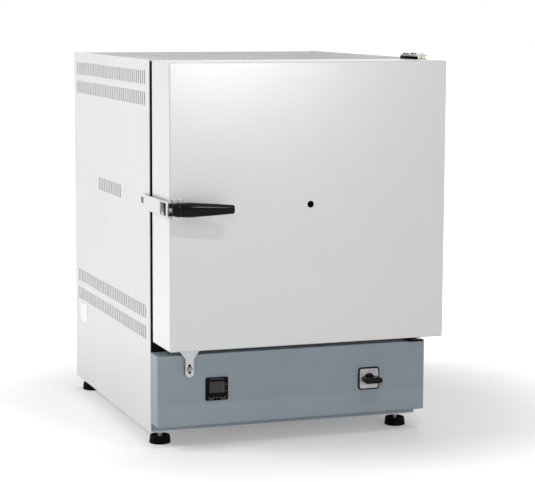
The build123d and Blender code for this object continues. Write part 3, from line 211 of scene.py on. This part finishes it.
def sheetSteel(name, colour, roughness=0.42):
    material, tree, shader = newMaterial(name)
    place = objectPlace(tree)
    spangle = addNode(tree, "ShaderNodeTexVoronoi")
    spangle.inputs["Scale"].default_value = sheetLook["spangleScale"]
    tree.links.new(place, spangle.inputs["Vector"])
    tone = tones(tree, spangle.outputs["Color"], colour, sheetLook["stops"])
    tree.links.new(tone, shader.inputs["Base Color"])
    shader.inputs["Metallic"].default_value = sheetLook["metallic"]
    wear = noise(tree, place, *sheetLook["wear"])
    spreadRoughness(tree, shader, wear, roughness, sheetLook["roughnessSpan"])
    rolling = noise(tree, place, *sheetLook["rolling"])
    bump(tree, shader, rolling, sheetLook["rollingStrength"], sheetLook["rollingDepth"])
    return material


plasticLook = {
    "mottle": (60, 3), "stops": [(0.3, 0.85), (0.75, 1.2)],
    "sheen": (90, 3), "roughnessSpan": (-0.06, 0.08), "grainDetail": 2, "grainDepth": 0.0002,
}


def plastic(name, colour, roughness=0.45, grainScale=1400, grain=0.2, gloss=0.5):
    material, tree, shader = newMaterial(name)
    place = objectPlace(tree)
    mottle = noise(tree, place, *plasticLook["mottle"])
    tree.links.new(tones(tree, mottle, colour, plasticLook["stops"]), shader.inputs["Base Color"])
    sheen = noise(tree, place, *plasticLook["sheen"])
    spreadRoughness(tree, shader, sheen, roughness, plasticLook["roughnessSpan"])
    shader.inputs["Specular IOR Level"].default_value = gloss
    texture = noise(tree, place, grainScale, plasticLook["grainDetail"])
    bump(tree, shader, texture, grain, plasticLook["grainDepth"])
    return material


refractoryLook = {
    "broad": (9, 5, 0.6), "stops": [(0.25, 0.86), (0.55, 1), (0.8, 1.06)],
    "finerThanPits": 5, "grainDetail": 3, "grainStrength": 0.35, "grainDepth": 0.0004,
    "pitDetail": 5, "pitRoughness": 0.65, "pitStrength": 0.5, "pitDepth": 0.0015,
}


def refractory(name, colour, pitScale=220, roughness=0.92):
    look = refractoryLook
    material, tree, shader = newMaterial(name)
    place = objectPlace(tree)
    broad = noise(tree, place, *look["broad"])
    tree.links.new(tones(tree, broad, colour, look["stops"]), shader.inputs["Base Color"])
    shader.inputs["Roughness"].default_value = roughness
    grain = noise(tree, place, pitScale * look["finerThanPits"], look["grainDetail"])
    grainNormal = bump(tree, shader, grain, look["grainStrength"], look["grainDepth"])
    pits = noise(tree, place, pitScale, look["pitDetail"], look["pitRoughness"])
    bump(tree, shader, pits, look["pitStrength"], look["pitDepth"], grainNormal)
    return material


fibreLook = {
    "flattened": (1, 1, 3), "felt": (160, 6, 0.7), "stops": [(0.3, 0.88), (0.7, 1.05)],
    "roughness": 1.0, "sheen": 0.2, "feltStrength": 0.6, "feltDepth": 0.002,
}


def fibreBoard(name, colour):
    material, tree, shader = newMaterial(name)
    place = objectPlace(tree, fibreLook["flattened"])
    felt = noise(tree, place, *fibreLook["felt"])
    tree.links.new(tones(tree, felt, colour, fibreLook["stops"]), shader.inputs["Base Color"])
    shader.inputs["Roughness"].default_value = fibreLook["roughness"]
    shader.inputs["Sheen Weight"].default_value = fibreLook["sheen"]
    bump(tree, shader, felt, fibreLook["feltStrength"], fibreLook["feltDepth"])
    return material


ropeLook = {
    "strandScale": 90, "strandWander": 1.5, "stops": [(0.1, 0.72), (0.6, 1)],
    "roughness": 0.95, "strandStrength": 0.6, "strandDepth": 0.0015,
}


def wovenRope(name, colour):
    material, tree, shader = newMaterial(name)
    place = objectPlace(tree)
    strands = addNode(tree, "ShaderNodeTexWave", wave_type="BANDS", bands_direction="DIAGONAL")
    strands.inputs["Scale"].default_value = ropeLook["strandScale"]
    strands.inputs["Distortion"].default_value = ropeLook["strandWander"]
    tree.links.new(place, strands.inputs["Vector"])
    weave = strands.outputs["Fac"]
    tree.links.new(tones(tree, weave, colour, ropeLook["stops"]), shader.inputs["Base Color"])
    shader.inputs["Roughness"].default_value = ropeLook["roughness"]
    bump(tree, shader, weave, ropeLook["strandStrength"], ropeLook["strandDepth"])
    return material


wireLook = {
    "scale": (400, 4), "stops": [(0.3, 0.6), (0.7, 1.5)],
    "metallic": 0.6, "roughness": 0.55, "scaleStrength": 0.3, "scaleDepth": 0.0003,
}


def resistanceWire(name, colour):
    material, tree, shader = newMaterial(name)
    scale = noise(tree, objectPlace(tree), *wireLook["scale"])
    tree.links.new(tones(tree, scale, colour, wireLook["stops"]), shader.inputs["Base Color"])
    shader.inputs["Metallic"].default_value = wireLook["metallic"]
    shader.inputs["Roughness"].default_value = wireLook["roughness"]
    bump(tree, shader, scale, wireLook["scaleStrength"], wireLook["scaleDepth"])
    return material


rubberLook = {
    "dust": (50, 5, 0.65), "stops": [(0.45, 1), (0.85, 2.6)], "roughness": 0.5, "gloss": 0.05,
    "grain": (1200, 2), "grainStrength": 0.2, "grainDepth": 0.0002,
}


def soleRubber(name, colour):
    material, tree, shader = newMaterial(name)
    place = objectPlace(tree)
    dust = noise(tree, place, *rubberLook["dust"])
    tree.links.new(tones(tree, dust, colour, rubberLook["stops"]), shader.inputs["Base Color"])
    shader.inputs["Roughness"].default_value = rubberLook["roughness"]
    shader.inputs["Specular IOR Level"].default_value = rubberLook["gloss"]
    grain = noise(tree, place, *rubberLook["grain"])
    bump(tree, shader, grain, rubberLook["grainStrength"], rubberLook["grainDepth"])
    return material


# one finish for each material slot of the CAD nodes
finishes = {
    "casing_paint": paint("casingPaint", (0.78, 0.78, 0.765), 0.42, peel=0.16),
    "cover_paint": paint("coverPaint", (0.62, 0.60, 0.585), 0.6, peel=0.2, cloud=0.1, coat=0, gloss=0.15),
    "door_paint": paint("doorPaint", (0.650, 0.656, 0.643), 0.36, peel=0.22, cloud=0.012, coat=0.95),
    "panel_paint": paint("panelPaint", (0.262, 0.314, 0.356), 0.42, cloud=0.03, coat=0.1),
    "black_paint": paint("blackPaint", (0.006, 0.006, 0.007), 0.5, peel=0.2, cloud=0.1, coat=0, gloss=0.06),
    "black_steel": paint("leverPaint", (0.003, 0.003, 0.0035), 0.2, peel=0.2, cloud=0.1, coat=0, gloss=0.08),
    "inner_steel": sheetSteel("innerSheet", (0.52, 0.52, 0.51)),
    "zinc_steel": platedSteel("brightZinc", (0.42, 0.42, 0.405), 0.42),
    "yellow_zinc": platedSteel("yellowZinc", (0.55, 0.54, 0.44)),
    "screw_steel": platedSteel("screwZinc", (0.20, 0.20, 0.195), 0.4),
    "switch_aluminium": plastic(
        "switchPlateCoat", (0.66, 0.64, 0.67), 0.5, grainScale=1500, grain=0.1, gloss=0.3
    ),
    "aluminium_extrusion": platedSteel("extrudedAluminium", (0.66, 0.66, 0.66), 0.4),
    "brass_bush": platedSteel("turnedBrass", (0.56, 0.49, 0.33), 0.35, metallic=1),
    "black_plastic": plastic("controllerPlastic", (0.003, 0.003, 0.0035), 0.4, gloss=0.05),
    "black_gloss_plastic": plastic(
        "glossPlastic", (0.001, 0.001, 0.0013), 0.15, grainScale=900, grain=0.07, gloss=0.11
    ),
    "grey_plastic": plastic("greyPlastic", (0.17, 0.17, 0.165)),
    "white_plastic": plastic("whitePlastic", (0.68, 0.66, 0.60)),
    "key_plastic": plastic("keyPlastic", (0.06, 0.058, 0.056), 0.5, gloss=0.1),
    "display_plastic": plastic(
        "displayWindow", (0.066, 0.058, 0.063), 0.4, grainScale=900, grain=0.05, gloss=0.1
    ),
    "foot_rubber": soleRubber("footRubber", (0.002, 0.002, 0.002)),
    "fibre_board": fibreBoard("fibreBoard", (0.80, 0.78, 0.73)),
    "throat_brick": refractory("throatBrick", (0.75, 0.70, 0.60)),
    "heater_ceramic": refractory("heaterCeramic", (0.70, 0.62, 0.50), pitScale=160),
    "hearth_ceramic": refractory("hearthCeramic", (0.62, 0.54, 0.42), pitScale=300, roughness=0.8),
    "sheath_ceramic": refractory("firedCeramic", (0.80, 0.76, 0.68), pitScale=500, roughness=0.6),
    "gasket_rope": wovenRope("gasketRope", (0.70, 0.67, 0.60)),
    "heating_wire": resistanceWire("heatingWire", (0.12, 0.10, 0.09)),
}

# nodes that look different from the rest of their slot
ownFinishes = {
    "keeper_strap": finishes["casing_paint"],
    "actuator_bolt": platedSteel("boltZinc", (0.22, 0.22, 0.215), 0.35),
    # the peep tube's black is painted shade for the dark inside of the sight hole
    "peep_tube": paint("peepHoleShade", (0.004, 0.004, 0.004), 0.9, peel=0.1, cloud=0.1, coat=0, gloss=0.05),
}

slotOf = {entry["node"]: entry["material_slot"] for entry in frame["record"]["subparts"]}
for name, node in nodes.items():
    node.data.materials.clear()
    node.data.materials.append(ownFinishes.get(name, finishes[slotOf[name]]))
print("finishes given to", len(nodes), "nodes")

mergeWithin = 1e-5     # metres, enough to close a pole that a full turn leaves a hair apart


def addPiece(mesh, name, finish, body, smooth=True):
    piece = bpy.data.objects.new(name, mesh)
    bpy.context.scene.collection.objects.link(piece)
    mesh.materials.append(finish)
    mesh.polygons.foreach_set("use_smooth", [smooth] * len(mesh.polygons))
    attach(piece, body)
    return piece


def closeMesh(bm, name):
    bmesh.ops.remove_doubles(bm, verts=bm.verts, dist=mergeWithin)
    bmesh.ops.recalc_face_normals(bm, faces=bm.faces)
    mesh = bpy.data.meshes.new(name)
    bm.to_mesh(mesh)
    bm.free()
    return mesh


def lathe(bm, profile, centre, along, side, steps):
    # the profile is pairs of run along the axis and radius, in mm
    verts = [bm.verts.new(centre + along * run * mm + side * radius * mm) for run, radius in profile]
    edges = [bm.edges.new(pair) for pair in zip(verts, verts[1:])]
    bmesh.ops.spin(
        bm, geom=verts + edges, cent=centre, axis=along, dvec=(0, 0, 0),
        angle=math.tau, steps=steps, use_merge=True, use_duplicate=False,
    )


def arcPoints(centre, radius, start, end, count):
    turns = [math.radians(start + (end - start) * index / count) for index in range(count + 1)]
    return [(centre[0] + radius * math.cos(turn), centre[1] + radius * math.sin(turn)) for turn in turns]


# the lever's grip, a turned shape about the line that the lever follows at rest, in mm and degrees
grip = {
    "restTurn": 9, "start": 9, "startRadius": 14, "belly": 32, "bellyRadius": 14.8,
    "end": 119, "endRadius": 8.5, "endRound": 1.2, "endSteps": 5,
    "straight": 0.8,    # the taper's share that is a straight cone
    "steps": 96, "rows": 28,
}


def gripRadius(run):
    if run < grip["belly"]:
        back = (grip["belly"] - run) / (grip["belly"] - grip["start"])
        return grip["bellyRadius"] - (grip["bellyRadius"] - grip["startRadius"]) * back**2
    part = (run - grip["belly"]) / (grip["end"] - grip["belly"])
    drop = grip["straight"] * part + (1 - grip["straight"]) * part**2
    return grip["bellyRadius"] - (grip["bellyRadius"] - grip["endRadius"]) * drop


def addGrip():
    turn = math.radians(grip["restTurn"])
    along = Vector((math.cos(turn), -math.sin(turn), 0))
    start = grip["start"]
    last = grip["end"] - grip["endRound"]
    runs = [start + (last - start) * row / grip["rows"] for row in range(grip["rows"] + 1)]
    profile = [(start, 0)] + [(run, gripRadius(run)) for run in runs]
    edgeCentre = (last, gripRadius(last) - grip["endRound"])
    profile += arcPoints(edgeCentre, grip["endRound"], 90, 0, grip["endSteps"])[1:] + [(grip["end"], 0)]
    bm = bmesh.new()
    lathe(bm, profile, latchAxis, along, Vector((0, 0, 1)), grip["steps"])
    piece = addPiece(closeMesh(bm, "grip"), "grip", finishes["black_gloss_plastic"], "handle")
    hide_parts("handle_grip")


addGrip()
print("grip made")

# the switch's knob: a low disc with a rounded wing across it, in mm
knob = {
    "discRadius": 12, "discHeight": 6, "lean": 1.2, "discEdge": 1, "discSteps": 48,
    "wingLength": 40, "wingWidth": 12, "wingSink": 1, "arcSteps": 12,
    "height": 29, "edgeRound": 1.6, "edgeSegments": 4,
}


def addKnob():
    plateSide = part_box("switch_knob")[1].y
    seat = Vector((switchAxis.x, plateSide, switchAxis.z))
    front = Vector((0, -1, 0))
    up = Vector((0, 0, 1))
    right = Vector((1, 0, 0))
    bm = bmesh.new()
    discTop = knob["discRadius"] - knob["lean"]
    profile = [(0, 0), (0, knob["discRadius"]), (knob["discHeight"] - knob["discEdge"], discTop)]
    profile += [(knob["discHeight"], discTop - knob["discEdge"]), (knob["discHeight"], 0)]
    lathe(bm, profile, seat, front, up, knob["discSteps"])
    radius = knob["wingWidth"] / 2
    reach = knob["wingLength"] / 2 - radius
    outline = arcPoints((reach, 0), radius, -90, 90, knob["arcSteps"])
    outline += arcPoints((-reach, 0), radius, 90, 270, knob["arcSteps"])
    base = seat + front * (knob["discHeight"] - knob["wingSink"]) * mm
    ring = [bm.verts.new(base + right * x * mm + up * z * mm) for x, z in outline]
    made = bmesh.ops.extrude_face_region(bm, geom=[bm.faces.new(ring)])["geom"]
    lifted = [item for item in made if isinstance(item, bmesh.types.BMVert)]
    rise = knob["height"] - knob["discHeight"] + knob["wingSink"]
    bmesh.ops.translate(bm, verts=lifted, vec=front * rise * mm)
    lids = [item for item in made if isinstance(item, bmesh.types.BMFace)]
    rim = list({edge for lid in lids for edge in lid.edges})
    bmesh.ops.bevel(
        bm, geom=rim, offset=knob["edgeRound"] * mm, segments=knob["edgeSegments"],
        profile=0.5, affect="EDGES", material=-1,
    )
    piece = addPiece(closeMesh(bm, "knob"), "knob", finishes["black_gloss_plastic"], "knob")
    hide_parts("switch_knob")


addKnob()
print("knob made")

# the rubber feet, with a recess in the top: height above the floor and radius, in mm
foot = {
    "profile": [
        (0, 0), (0, 20.6), (0.6, 22), (2, 22.5), (5, 22.3), (15.6, 21), (16.7, 20.6), (17, 19.8),
        (17, 17.6), (16.6, 17.1), (13, 17), (13, 0),
    ],
    "steps": 64,
}


def addFeet():
    bm = bmesh.new()
    for mount in frame["record"]["mounts"]:
        if mount["name"].startswith("foot_"):
            place = Vector(mount["pos_m"])
            lathe(bm, foot["profile"], place, Vector((0, 0, 1)), Vector((1, 0, 0)), foot["steps"])
    piece = addPiece(closeMesh(bm, "feet"), "feet", finishes["foot_rubber"], "casing")
    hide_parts("levelling_feet")


addFeet()
print("feet made")

# heating coils, wound out along one groove and back along the next, in mm
coil = {
    "radius": 4.4, "wire": 0.85, "pitch": 5, "samples": 10, "resolution": 1,
    "grooves": 6, "groovePitch": 44,
    "barHalf": 5.5,     # from the CAD coil's box to the winding's middle line
}


def coilOffset(index, normal, side):
    turn = math.tau * index / coil["samples"]
    return (normal * math.cos(turn) + side * math.sin(turn)) * coil["radius"] * mm


def windingPoints(middle, across, front, rear):
    # the coil turns about the line that this walks
    pitch = coil["groovePitch"] * mm
    stride = coil["pitch"] * mm / coil["samples"]
    steps = round((rear - front) / stride)
    crossSteps = round(pitch / stride)
    normal = across.cross(Vector((0, 1, 0)))
    points = []
    for groove in range(coil["grooves"]):
        offset = across * (groove - (coil["grooves"] - 1) / 2) * pitch
        ahead = 1 if groove % 2 == 0 else -1
        start = front if ahead == 1 else rear
        for step in range(steps + 1):
            line = middle + offset + Vector((0, start + ahead * step * stride, 0))
            points.append(line + coilOffset(len(points), normal, across))
        if groove < coil["grooves"] - 1:
            for step in range(1, crossSteps):
                line = middle + offset + across * step * stride
                line.y = start + ahead * steps * stride
                points.append(line + coilOffset(len(points), normal, Vector((0, ahead, 0))))
    return points


def windCoils(name, node, rows):
    low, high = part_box(node)
    front = low.y + coil["barHalf"] * mm
    rear = high.y - coil["barHalf"] * mm
    curve = bpy.data.curves.new(name, "CURVE")
    curve.dimensions = "3D"
    curve.bevel_depth = coil["wire"] * mm
    curve.bevel_resolution = coil["resolution"]
    curve.use_fill_caps = True
    for middle, across in rows:
        points = windingPoints(middle, across, front, rear)
        spline = curve.splines.new("POLY")
        spline.points.add(len(points) - 1)
        for point, place in zip(spline.points, points):
            point.co = (*place, 1)
    holder = bpy.data.objects.new(name, curve)
    mesh = bpy.data.meshes.new_from_object(holder)
    bpy.data.objects.remove(holder)
    piece = addPiece(mesh, name, finishes["heating_wire"], "casing")
    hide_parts(node)


def addCoils():
    sideLow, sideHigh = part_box("heating_coils_side")
    roofLow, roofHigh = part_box("heating_coil_roof")
    half = coil["barHalf"] * mm
    left = Vector((sideLow.x + half, 0, (sideLow.z + sideHigh.z) / 2))
    right = Vector((sideHigh.x - half, 0, left.z))
    roof = Vector(((roofLow.x + roofHigh.x) / 2, 0, (roofLow.z + roofHigh.z) / 2))
    up = Vector((0, 0, 1))
    across = Vector((1, 0, 0))
    windCoils("sideCoils", "heating_coils_side", [(left, up), (right, up)])
    windCoils("roofCoil", "heating_coil_roof", [(roof, across)])


addCoils()
print("coils wound")

# the door's gasket: a flattened rope section, led round the plug with turned corners, in mm
rope = {"width": 24, "cornerRadius": 15, "fullness": 2.6, "sectionSteps": 16, "cornerSteps": 10}


def addGasket():
    low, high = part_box("door_gasket")
    half = rope["width"] / 2 * mm
    radius = rope["cornerRadius"] * mm
    depth = high.y - low.y
    inset = half + radius
    runX = high.x - low.x - 2 * inset
    runZ = high.z - low.z - 2 * inset
    power = 2 / rope["fullness"]
    corner = Vector((high.x - inset, low.y, low.z + inset))      # lower right corner's centre
    bm = bmesh.new()
    section = []
    for step in range(rope["sectionSteps"] + 1):
        turn = math.pi * step / rope["sectionSteps"]
        wide = math.copysign(abs(math.cos(turn)) ** power, math.cos(turn)) * half
        tall = abs(math.sin(turn)) ** power * depth
        section.append(bm.verts.new(corner + Vector((radius + wide, tall, 0))))
    edges = [bm.edges.new(pair) for pair in zip(section, section[1:] + section[:1])]
    upward = Vector((0, 0, runZ))
    leftward = Vector((-runX, 0, 0))
    for run in (upward, leftward, -upward, -leftward):
        made = bmesh.ops.extrude_edge_only(bm, edges=edges)["geom"]
        moved = [item for item in made if isinstance(item, bmesh.types.BMVert)]
        edges = [item for item in made if isinstance(item, bmesh.types.BMEdge)]
        bmesh.ops.translate(bm, verts=moved, vec=run)
        corner = corner + run
        made = bmesh.ops.spin(
            bm, geom=moved + edges, cent=corner, axis=(0, 1, 0), dvec=(0, 0, 0), angle=-math.pi / 2,
            steps=rope["cornerSteps"], use_merge=False, use_duplicate=False,
        )["geom_last"]
        edges = [item for item in made if isinstance(item, bmesh.types.BMEdge)]
    piece = addPiece(closeMesh(bm, "ropeGasket"), "ropeGasket", finishes["gasket_rope"], "door")
    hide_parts("door_gasket")


addGasket()
print("gasket made")


def addBox(name, low, high, finish, body):
    bm = bmesh.new()
    bmesh.ops.create_cube(bm, size=1)
    bmesh.ops.scale(bm, vec=high - low, verts=bm.verts)
    bmesh.ops.translate(bm, vec=(low + high) / 2, verts=bm.verts)
    return addPiece(closeMesh(bm, name), name, finish, body, False)


# a thin black sheet on the door's edge, painted shade that shows through the keeper's window, measured in mm from
# the door's front face and from the latch's height
windowShadeSheet = {"front": 3, "back": 38, "low": -17, "high": 12, "thickness": 0.3}


def addWindowShadeSheet():
    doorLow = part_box("door_shell")[0]
    outside = doorLow.x - windowShadeSheet["thickness"] * mm
    pieceLow = Vector((outside, doorLow.y + windowShadeSheet["front"] * mm, latchAxis.z + windowShadeSheet["low"] * mm))
    pieceHigh = Vector((doorLow.x, doorLow.y + windowShadeSheet["back"] * mm, latchAxis.z + windowShadeSheet["high"] * mm))
    # a black sheet 0.3 mm thick: painted shade inside the keeper's window
    piece = addBox("windowShadeSheet", pieceLow, pieceHigh, finishes["black_paint"], "door")


# the blank label plate on the left side panel, in mm from the panel's front edge and from the floor
labelPlate = {"front": 530, "back": 597, "low": 173, "high": 215, "thickness": 0.4}


def addLabelPlate():
    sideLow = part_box("left_side_panel")[0]
    outside = sideLow.x - labelPlate["thickness"] * mm
    pieceLow = Vector((outside, sideLow.y + labelPlate["front"] * mm, labelPlate["low"] * mm))
    pieceHigh = Vector((sideLow.x, sideLow.y + labelPlate["back"] * mm, labelPlate["high"] * mm))
    piece = addBox("labelPlate", pieceLow, pieceHigh, finishes["door_paint"], "casing")


# plain printed bars: lower and upper corner in mm, across and up from the display's or the switch's centre
marks = {
    "depth": 0.25,
    "controller": [
        ((-17, -22.2), (-9.5, -21.1)), ((9, -22.2), (17, -21.1)), ((18.6, 8.2), (20.8, 9.8)),
        ((18.6, -5.6), (20.8, -4.0)), ((-16, 20.9), (15, 21.6)),
    ],
    "switch": [((-0.6, 15.2), (0.6, 19.2))],
    "inks": {"controller": (0.2, 0.2, 0.2), "switch": (0.12, 0.12, 0.12)},
    "inkRoughness": 0.6, "inkGrain": 0, "inkGloss": 0.1,
}


def addMarks():
    screenLow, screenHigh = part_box("controller_screen")
    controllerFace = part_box("controller_body")[0].y
    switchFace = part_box("switch_plate")[0].y
    centres = {
        "controller": Vector(((screenLow.x + screenHigh.x) / 2, controllerFace, switchAxis.z)),
        "switch": Vector((switchAxis.x, switchFace, switchAxis.z)),
    }
    for group, centre in centres.items():
        ink = plastic(
            group + "Ink", marks["inks"][group], marks["inkRoughness"],
            grain=marks["inkGrain"], gloss=marks["inkGloss"],
        )
        for number, (low, high) in enumerate(marks[group]):
            pieceLow = centre + Vector((low[0] * mm, -marks["depth"] * mm, low[1] * mm))
            pieceHigh = centre + Vector((high[0] * mm, 0, high[1] * mm))
            piece = addBox(group + "Mark" + str(number), pieceLow, pieceHigh, ink, "casing")


addWindowShadeSheet()
addLabelPlate()
addMarks()
print("plates and marks made")

# a white room: the floor turns white with distance, so that the shadow stays near the feet
room = {
    "worldLight": 0.27, "whiteStrength": 1.0,
    "floorSize": 60, "floorTone": 0.9, "floorRoughness": 0.9,
    "floorGlow": 0.22, "whiteFrom": 0.45, "whiteTo": 1.3,     # metres from the middle of the floor
}


def seenBy(tree, rayKinds):
    rays = addNode(tree, "ShaderNodeLightPath")
    seen = rays.outputs[rayKinds[0]]
    for kind in rayKinds[1:]:
        either = addNode(tree, "ShaderNodeMath", operation="MAXIMUM")
        tree.links.new(seen, either.inputs[0])
        tree.links.new(rays.outputs[kind], either.inputs[1])
        seen = either.outputs[0]
    return seen


def addWorld():
    world = bpy.data.worlds.new("paleRoom")
    world.use_nodes = True
    tree = world.node_tree
    tree.nodes.clear()
    seen = seenBy(tree, ["Is Camera Ray", "Is Glossy Ray", "Is Transmission Ray"])
    background = addNode(tree, "ShaderNodeBackground")
    background.inputs["Color"].default_value = (1, 1, 1, 1)
    level = spread(tree, seen, room["worldLight"], room["whiteStrength"])
    tree.links.new(level, background.inputs["Strength"])
    output = addNode(tree, "ShaderNodeOutputWorld")
    tree.links.new(background.outputs[0], output.inputs["Surface"])
    bpy.context.scene.world = world


def floorFinish():
    material, tree, shader = newMaterial("paleFloor")
    tone = room["floorTone"]
    shader.inputs["Base Color"].default_value = (tone, tone, tone, 1)
    shader.inputs["Roughness"].default_value = room["floorRoughness"]
    shader.inputs["Emission Color"].default_value = (1, 1, 1, 1)
    distance = addNode(tree, "ShaderNodeVectorMath", operation="LENGTH")
    tree.links.new(objectPlace(tree), distance.inputs[0])
    whiter = addNode(tree, "ShaderNodeMapRange", interpolation_type="SMOOTHSTEP")
    tree.links.new(distance.outputs["Value"], whiter.inputs["Value"])
    whiter.inputs["From Min"].default_value = room["whiteFrom"]
    whiter.inputs["From Max"].default_value = room["whiteTo"]
    whiter.inputs["To Min"].default_value = room["floorGlow"]
    whiter.inputs["To Max"].default_value = room["whiteStrength"]
    glow = addNode(tree, "ShaderNodeMath", operation="MULTIPLY")
    tree.links.new(seenBy(tree, ["Is Camera Ray", "Is Glossy Ray"]), glow.inputs[0])
    tree.links.new(whiter.outputs["Result"], glow.inputs[1])
    tree.links.new(glow.outputs[0], shader.inputs["Emission Strength"])
    return material


def addFloor():
    bm = bmesh.new()
    bmesh.ops.create_grid(bm, x_segments=1, y_segments=1, size=room["floorSize"] / 2)
    mesh = bpy.data.meshes.new("floor")
    bm.to_mesh(mesh)
    bm.free()
    floor = bpy.data.objects.new("floor", mesh)
    bpy.context.scene.collection.objects.link(floor)
    mesh.materials.append(floorFinish())


# place, aim and size in metres, power in watts
lamps = {
    "leftSoftbox": {"place": (-2.4, 0.1, 1.9), "aim": (0, 0.1, 0.6), "size": (1.3, 1.3), "power": 34},
    "keySoftbox": {
        "place": (-0.85, -1.6, 1.2), "aim": (-0.25, -0.35, 0.3), "size": (0.4, 0.4), "power": 2.2,
    },
    "highSpot": {"place": (0.08, -1.5, 1.85), "aim": (-0.1, -0.4, 0.5), "size": (0.15, 0.05), "power": 6},
    "sheenSoftbox": {
        "place": (0.94, -3.84, 0.93), "aim": (-0.1, -0.37, 0.7), "size": (0.5, 0.5), "power": 20,
    },
    "topSoftbox": {"place": (0.3, 0.4, 3.4), "aim": (0, 0, 0.4), "size": (2.2, 2.2), "power": 16},
}


def addLamps():
    for name, lamp in lamps.items():
        data = bpy.data.lights.new(name, "AREA")
        data.shape = "RECTANGLE"
        data.size, data.size_y = lamp["size"]
        data.energy = lamp["power"]
        light = bpy.data.objects.new(name, data)
        light.location = lamp["place"]
        aim = Vector(lamp["aim"]) - Vector(lamp["place"])
        light.rotation_euler = aim.to_track_quat("-Z", "Y").to_euler()
        bpy.context.scene.collection.objects.link(light)


addWorld()
addFloor()
addLamps()
bpy.context.scene.view_settings.view_transform = "Standard"
print("room and lamps set")
